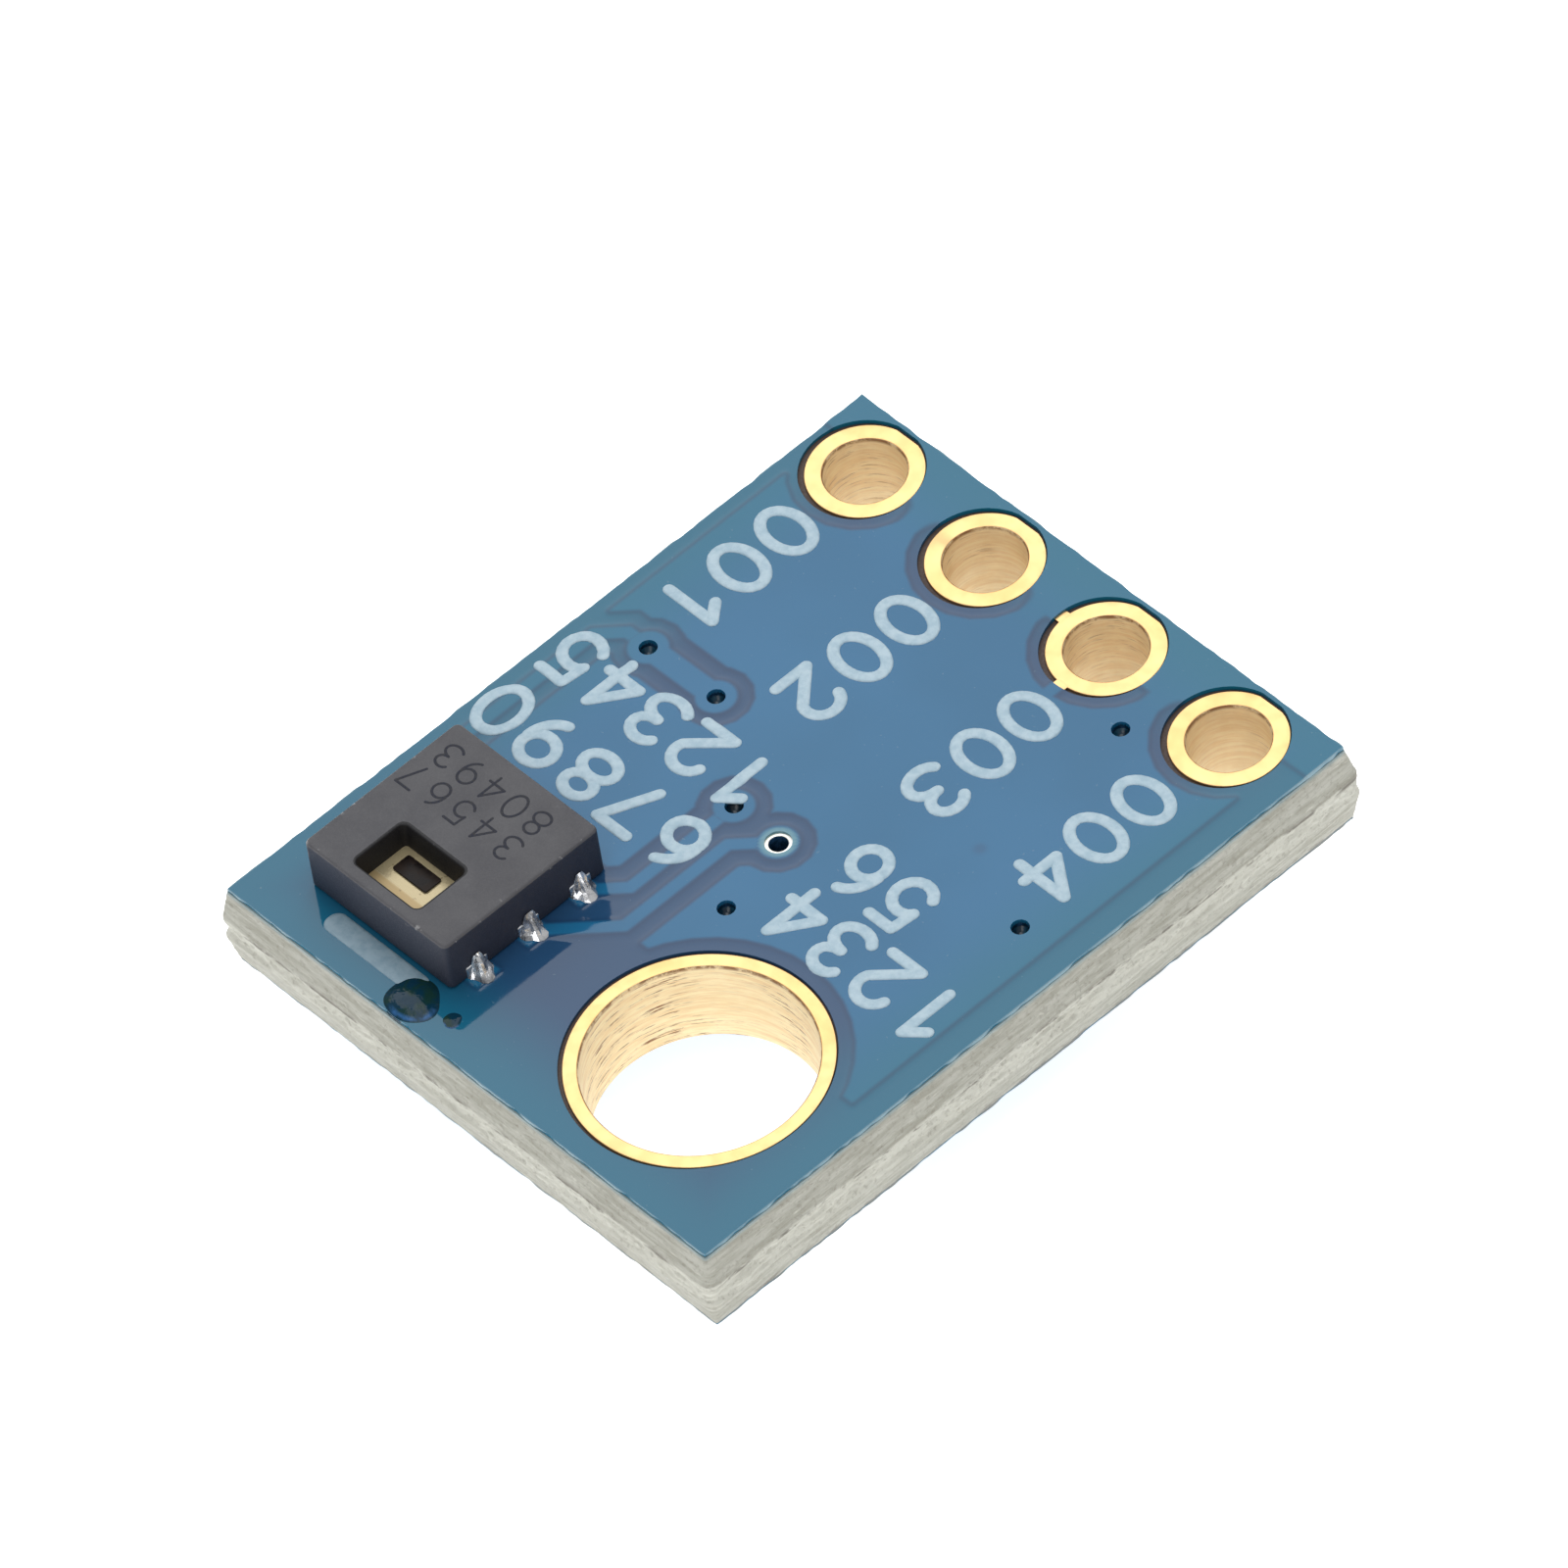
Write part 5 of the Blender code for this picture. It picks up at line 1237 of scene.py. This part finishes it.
class MODULE_OT_sensor_leads(bpy.types.Operator):
    """The sensor's six leads and their solder."""

    bl_idname = "module.sensor_leads"
    bl_label = "Sensor leads"

    def execute(self, context):
        size, colours = sizes("sensor"), settings("colours")
        tin = metal_finish("tinned_lead", colours.tin, colours.solder_shade, (0.22, 0.4))
        # The bright solder's dark patches are painted reflections of the dark package
        solder = metal_finish(
            "bright_solder", colours.solder, colours.solder_dark, (0.08, 0.2), grain=5.0, depth=0.01, metallic=0.75,
        )
        for number in range(1, 7):
            low, high = box_mm(f"sensor_lead_{number}")
            middle, half = (low + high) / 2, (high - low) / 2
            skin = soft_block(middle, half[[1, 2, 0]], edge=0.015, corner=0.03, along_x=True)
            make_piece(f"tinned_lead_{number}", skin, [tin], "tin", [f"sensor_lead_{number}"])
            side, start = (1, BODY_HIGH[0]) if number <= 3 else (-1, BODY_LOW[0])
            level = box_mm(f"sensor_solder_{number}")[0][2]
            skin = solder_fillet(side, start, middle[1], level, size["solder_reach"], size["solder_height"], number)
            make_piece(f"solder_fillet_{number}", skin, [solder], "solder", [f"sensor_solder_{number}"], crease=12)
        return {"FINISHED"}


class MODULE_OT_marks(bpy.types.Operator):
    """The printed numbers and bar on the mask, and the engraved numbers on the package."""

    bl_idname = "module.marks"
    bl_label = "Numbers and marks"

    def execute(self, context):
        board, marks, held, colours = sizes("board"), sizes("marks"), settings("marks"), settings("colours")
        paths, thick = [], marks["ink_height"]
        for figures, place in zip(held.pin_labels.split(), LABEL_PLACES):
            paths += number_strokes(figures, place, step=0.93, box=(0.62, 0.92), turn=-90)
        for figures, row in zip(held.printed_rows.split(), PRINTED_ROWS):
            paths += number_strokes(figures, *row, turn=180)
        ink = ink_finish("printed_ink", colours.ink, colours.ink_thin)
        stroke_piece(
            "printed_numbers", paths, marks["stroke"], thick, Relief("top", board).height, ink, "solder_mask",
            lift=0.002, sunk=0.01,
        )
        soft, sunk, corner = 0.07, 0.02, 0.17
        profile = np.vstack([[(0, -sunk)], quarter((0, 0), (-soft, thick), 4)])
        bar = carried(*rounded_rectangle(*BAR_HALF, corner, bend=10), profile)
        bar = bar + (*BAR_MIDDLE, MASK_HIGH[2] - board["mask_step"])
        ink = ink_finish("printed_bar_ink", colours.bar, colours.bar_thin)
        make_piece("printed_bar", tube(bar), [ink], "solder_mask", crease=50)

        paths = []
        for figures, row in zip(held.engraved_rows.split(), ENGRAVED_ROWS):
            paths += number_strokes(figures, *row, turn=180)
        finish = clouded_finish("engraved_marks", colours.engraving, colours.side_shade_and_dark_moulding)
        stroke_piece(
            "engraved_numbers", paths, 0.044, 0.002, lambda x, y: np.full(x.shape, BODY_HIGH[2]), finish, "package",
            lift=0.0006, sunk=0.004,
        )
        return {"FINISHED"}


class MODULE_OT_flux(bpy.types.Operator):
    """The two drops of flux residue beside the sensor, each a low dome of height rise * (1 - share^2), whose radius
    waves round its outline."""

    bl_idname = "module.flux"
    bl_label = "Flux residue"

    def execute(self, context):
        sunk, ways = 0.045, circle(72)
        angle = np.arctan2(ways[:, 1], ways[:, 0])
        share = np.cos(np.linspace(0, math.pi / 2, 15)[:-1])
        out = np.append(1.0, share)[:, None]
        drops, crescents = [], []
        for middle, radius, rise, turn in DROPS:
            wave = 0.05 * np.cos(2 * angle + turn) + 0.04 * np.cos(3 * angle + turn) + 0.02 * np.cos(5 * angle)
            flat = ways * (radius * (1 + wave))[:, None] * out[:, :, None] + middle
            heights = np.append(-0.01, 0.02 + rise * (1 - share ** 2)) + (MASK_HIGH[2] - sunk)
            rings = np.concatenate([flat, np.broadcast_to(heights[:, None, None], (*flat.shape[:2], 1))], axis=2)
            drops.append(tube(rings))
            # Where the painted reflection of the blue crescent lies in each drop
            lower = smooth_step((np.cos(angle + 0.9) - 0.2) / 0.5)
            crescents.append((smooth_step(1 - np.abs(out - 0.84) / 0.14) * lower).ravel())
        values = {"crescent": np.concatenate(crescents)}
        finish = flux_finish(settings("colours"))
        make_piece("flux_drop", joined(drops), [finish], "solder_mask", values=values, crease=60)
        return {"FINISHED"}


def drafted_block(low, high, draft, parting, edge, corner):
    """A moulded body: rings of a rounded rectangle, widest at the parting level and leaning in from there to both
    faces, with a quarter circle at each face's edge."""
    middle, half = (low + high) / 2, (high - low) / 2
    inset, band = -draft - edge, 0.02
    ends = np.array([(-draft, low[2] + edge), (0, parting - band), (0, parting + band), (-draft, high[2] - edge)])
    profile = np.vstack([
        [(inset - 0.08, low[2]), (inset - 0.02, low[2])],
        quarter((inset, low[2]), ends[0], 4, turned=True),
        np.linspace(ends[0], ends[1], 6)[1:], np.linspace(ends[2], ends[3], 6)[:-1],
        quarter(ends[3], (inset, high[2]), 4),
        [(inset - 0.02, high[2]), (inset - 0.08, high[2])],
    ])
    rings = [
        np.insert(rounded_rectangle(*half[:2] + inwards, corner, 5, 8)[0], 2, level, axis=1)
        for inwards, level in profile
    ]
    return tube(np.array(rings) + (*middle[:2], 0))


def chip_end(low, high, way, axis, reach):
    """A chip part's end: a cap with rounded edges, and a solder skirt beyond it whose section is bounded by
    z = foot - rise * (1 - s)^2. The way is the direction along the axis that the skirt goes."""
    cap_low, cap_high = low.copy(), high.copy()
    far_side = cap_high if way > 0 else cap_low
    far_side[axis] -= way * reach
    cap = soft_block((cap_low + cap_high) / 2, (cap_high - cap_low) / 2, edge=0.05, corner=0.05)
    start, across, foot = far_side[axis], 1 - axis, high[2]
    heel, toe, rise = start - way * 0.05, start + way * reach, (foot - low[2]) * 0.75
    steps, inset, narrow = 15, 0.03, 0.18
    s = np.linspace(0, 1, 9)
    outline = np.vstack([
        np.column_stack([start + way * reach * s, foot - 0.012 - rise * (1 - s) ** 2]),
        [(toe, foot), (heel, foot), (heel, foot - rise)],
    ])
    width = np.sin(np.linspace(narrow, math.pi - narrow, steps))[:, None] ** 0.35
    rings = np.empty((steps, len(outline), 3))
    rings[..., axis] = start + (outline[:, 0] - start) * width
    rings[..., across] = np.linspace(low[across] + inset, high[across] - inset, steps)[:, None]
    rings[..., 2] = foot + (outline[:, 1] - foot) * width
    return joined([cap, tube(rings if way * (1 if axis else -1) > 0 else rings[::-1])])


class MODULE_OT_underside(bpy.types.Operator):
    """The regulator, capacitors and resistors on the underside."""

    bl_idname = "module.underside"
    bl_label = "Underside parts"

    def execute(self, context):
        colours = settings("colours")
        moulded = moulding_finish(colours, "regulator_moulding", colours.side_shade_and_dark_moulding, colours.window_shade_and_dark_clouds)
        tin = metal_finish("tinned_end", colours.tin, colours.solder_shade, (0.2, 0.38))
        capacitor = clouded_finish("capacitor_ceramic", colours.capacitor, colours.capacitor_shade)
        resistor = clouded_finish("resistor_glaze", colours.resistor, colours.window_shade_and_dark_clouds)
        skin = drafted_block(*box_mm("regulator_body"), draft=0.1, parting=0.6, edge=0.04, corner=0.07)
        make_piece("regulator_case", skin, [moulded], "package", ["regulator_body"], crease=50)
        for number in range(1, 4):
            refinish(f"regulator_lead_{number}", tin)
        for name in CHIPS:
            low, high = box_mm(f"{name}_body")
            finish, slot = (capacitor, "capacitor_ceramic") if "capacitor" in name else (resistor, "resistor_ceramic")
            skin = soft_block((low + high) / 2, (high - low) / 2, edge=0.03, corner=0.03)
            make_piece(f"{name}_chip", skin, [finish], slot, [f"{name}_body"])
            axis = int(np.argmax(high[:2] - low[:2]))
            for number in (1, 2):
                end_low, end_high = box_mm(f"{name}_end_{number}")
                way = 1 if (end_low + end_high)[axis] > (low + high)[axis] else -1
                skin = chip_end(end_low, end_high, way, axis, reach=0.2)
                make_piece(f"{name}_cap_{number}", skin, [tin], "tin", [f"{name}_end_{number}"])
        return {"FINISHED"}


class MODULE_OT_stage(bpy.types.Operator):
    """The pale floor, the soft studio light and the camera."""

    bl_idname = "module.stage"
    bl_label = "Stage"

    def execute(self, context):
        scene = context.scene
        mesh = bpy.data.meshes.new("floor")
        corners = np.array([(-1, -1, 0), (1, -1, 0), (1, 1, 0), (-1, 1, 0)]) * FLOOR_HALF
        mesh.from_pydata(corners.tolist(), [], [(0, 1, 2, 3)])
        mesh.materials.append(floor_finish(settings("colours")))
        floor = bpy.data.objects.new("floor", mesh)

        world = bpy.data.worlds.new("soft_room")
        world.use_nodes = True
        background = world.node_tree.nodes["Background"]
        background.inputs["Color"].default_value = (1.0, 1.0, 1.0, 1.0)
        background.inputs["Strength"].default_value = ROOM_LIGHT
        scene.world = world

        lamps = []
        for name, place, size, power in LIGHTS:
            light = bpy.data.lights.new(name, "AREA")
            light.shape, light.size, light.energy = "DISK", size, power
            lamp = bpy.data.objects.new(name, light)
            turn = Vector(place).to_track_quat("Z", "Y").to_matrix().to_4x4()
            lamp.matrix_world = Matrix.Translation(place) @ turn
            lamps.append(lamp)

        data = bpy.data.cameras.new("camera")
        data.lens, data.sensor_width = CAMERA_LENS, 36.0
        data.clip_start, data.clip_end = 0.01, 10.0
        camera = bpy.data.objects.new("camera", data)
        camera.matrix_world = Matrix.Translation(CAMERA_PLACE) @ Matrix(CAMERA_AXES).transposed().to_4x4()
        for thing in (floor, *lamps, camera):
            scene.collection.objects.link(thing)
        scene.camera = camera
        scene.view_settings.view_transform = "Standard"
        return {"FINISHED"}


OPERATORS = (
    MODULE_OT_mask, MODULE_OT_laminate, MODULE_OT_holes, MODULE_OT_sensor_body, MODULE_OT_sensor_die,
    MODULE_OT_sensor_leads, MODULE_OT_marks, MODULE_OT_flux, MODULE_OT_underside, MODULE_OT_stage,
)


class MODULE_PT_panel(bpy.types.Panel):
    """Lists the module's settings and the pieces that it builds."""

    bl_idname = "MODULE_PT_panel"
    bl_label = "Sensor module"
    bl_space_type = "VIEW_3D"
    bl_region_type = "UI"
    bl_category = "Sensor module"

    def draw(self, context):
        layout = self.layout
        for operator in OPERATORS:
            layout.operator(operator.bl_idname)
        for group in SETTINGS:
            box = layout.box()
            held = settings(group)
            for key in held.__annotations__:
                box.prop(held, key)


def register():
    """Adds the settings, the operators and the panel."""
    for group, kind in SETTINGS.items():
        bpy.utils.register_class(kind)
        setattr(bpy.types.Scene, f"module_{group}", bpy.props.PointerProperty(type=kind))
    for kind in (*OPERATORS, MODULE_PT_panel):
        bpy.utils.register_class(kind)


def unregister():
    """Takes away what register adds."""
    for kind in (MODULE_PT_panel, *reversed(OPERATORS)):
        bpy.utils.unregister_class(kind)
    for group, kind in reversed(SETTINGS.items()):
        delattr(bpy.types.Scene, f"module_{group}")
        bpy.utils.unregister_class(kind)


def main():
    """Builds every piece and the stage."""
    register()
    bpy.ops.module.mask()
    bpy.ops.module.laminate()
    bpy.ops.module.holes()
    bpy.ops.module.sensor_body()
    bpy.ops.module.sensor_die()
    bpy.ops.module.sensor_leads()
    bpy.ops.module.marks()
    bpy.ops.module.flux()
    bpy.ops.module.underside()
    bpy.ops.module.stage()


if __name__ == "__main__":
    main()
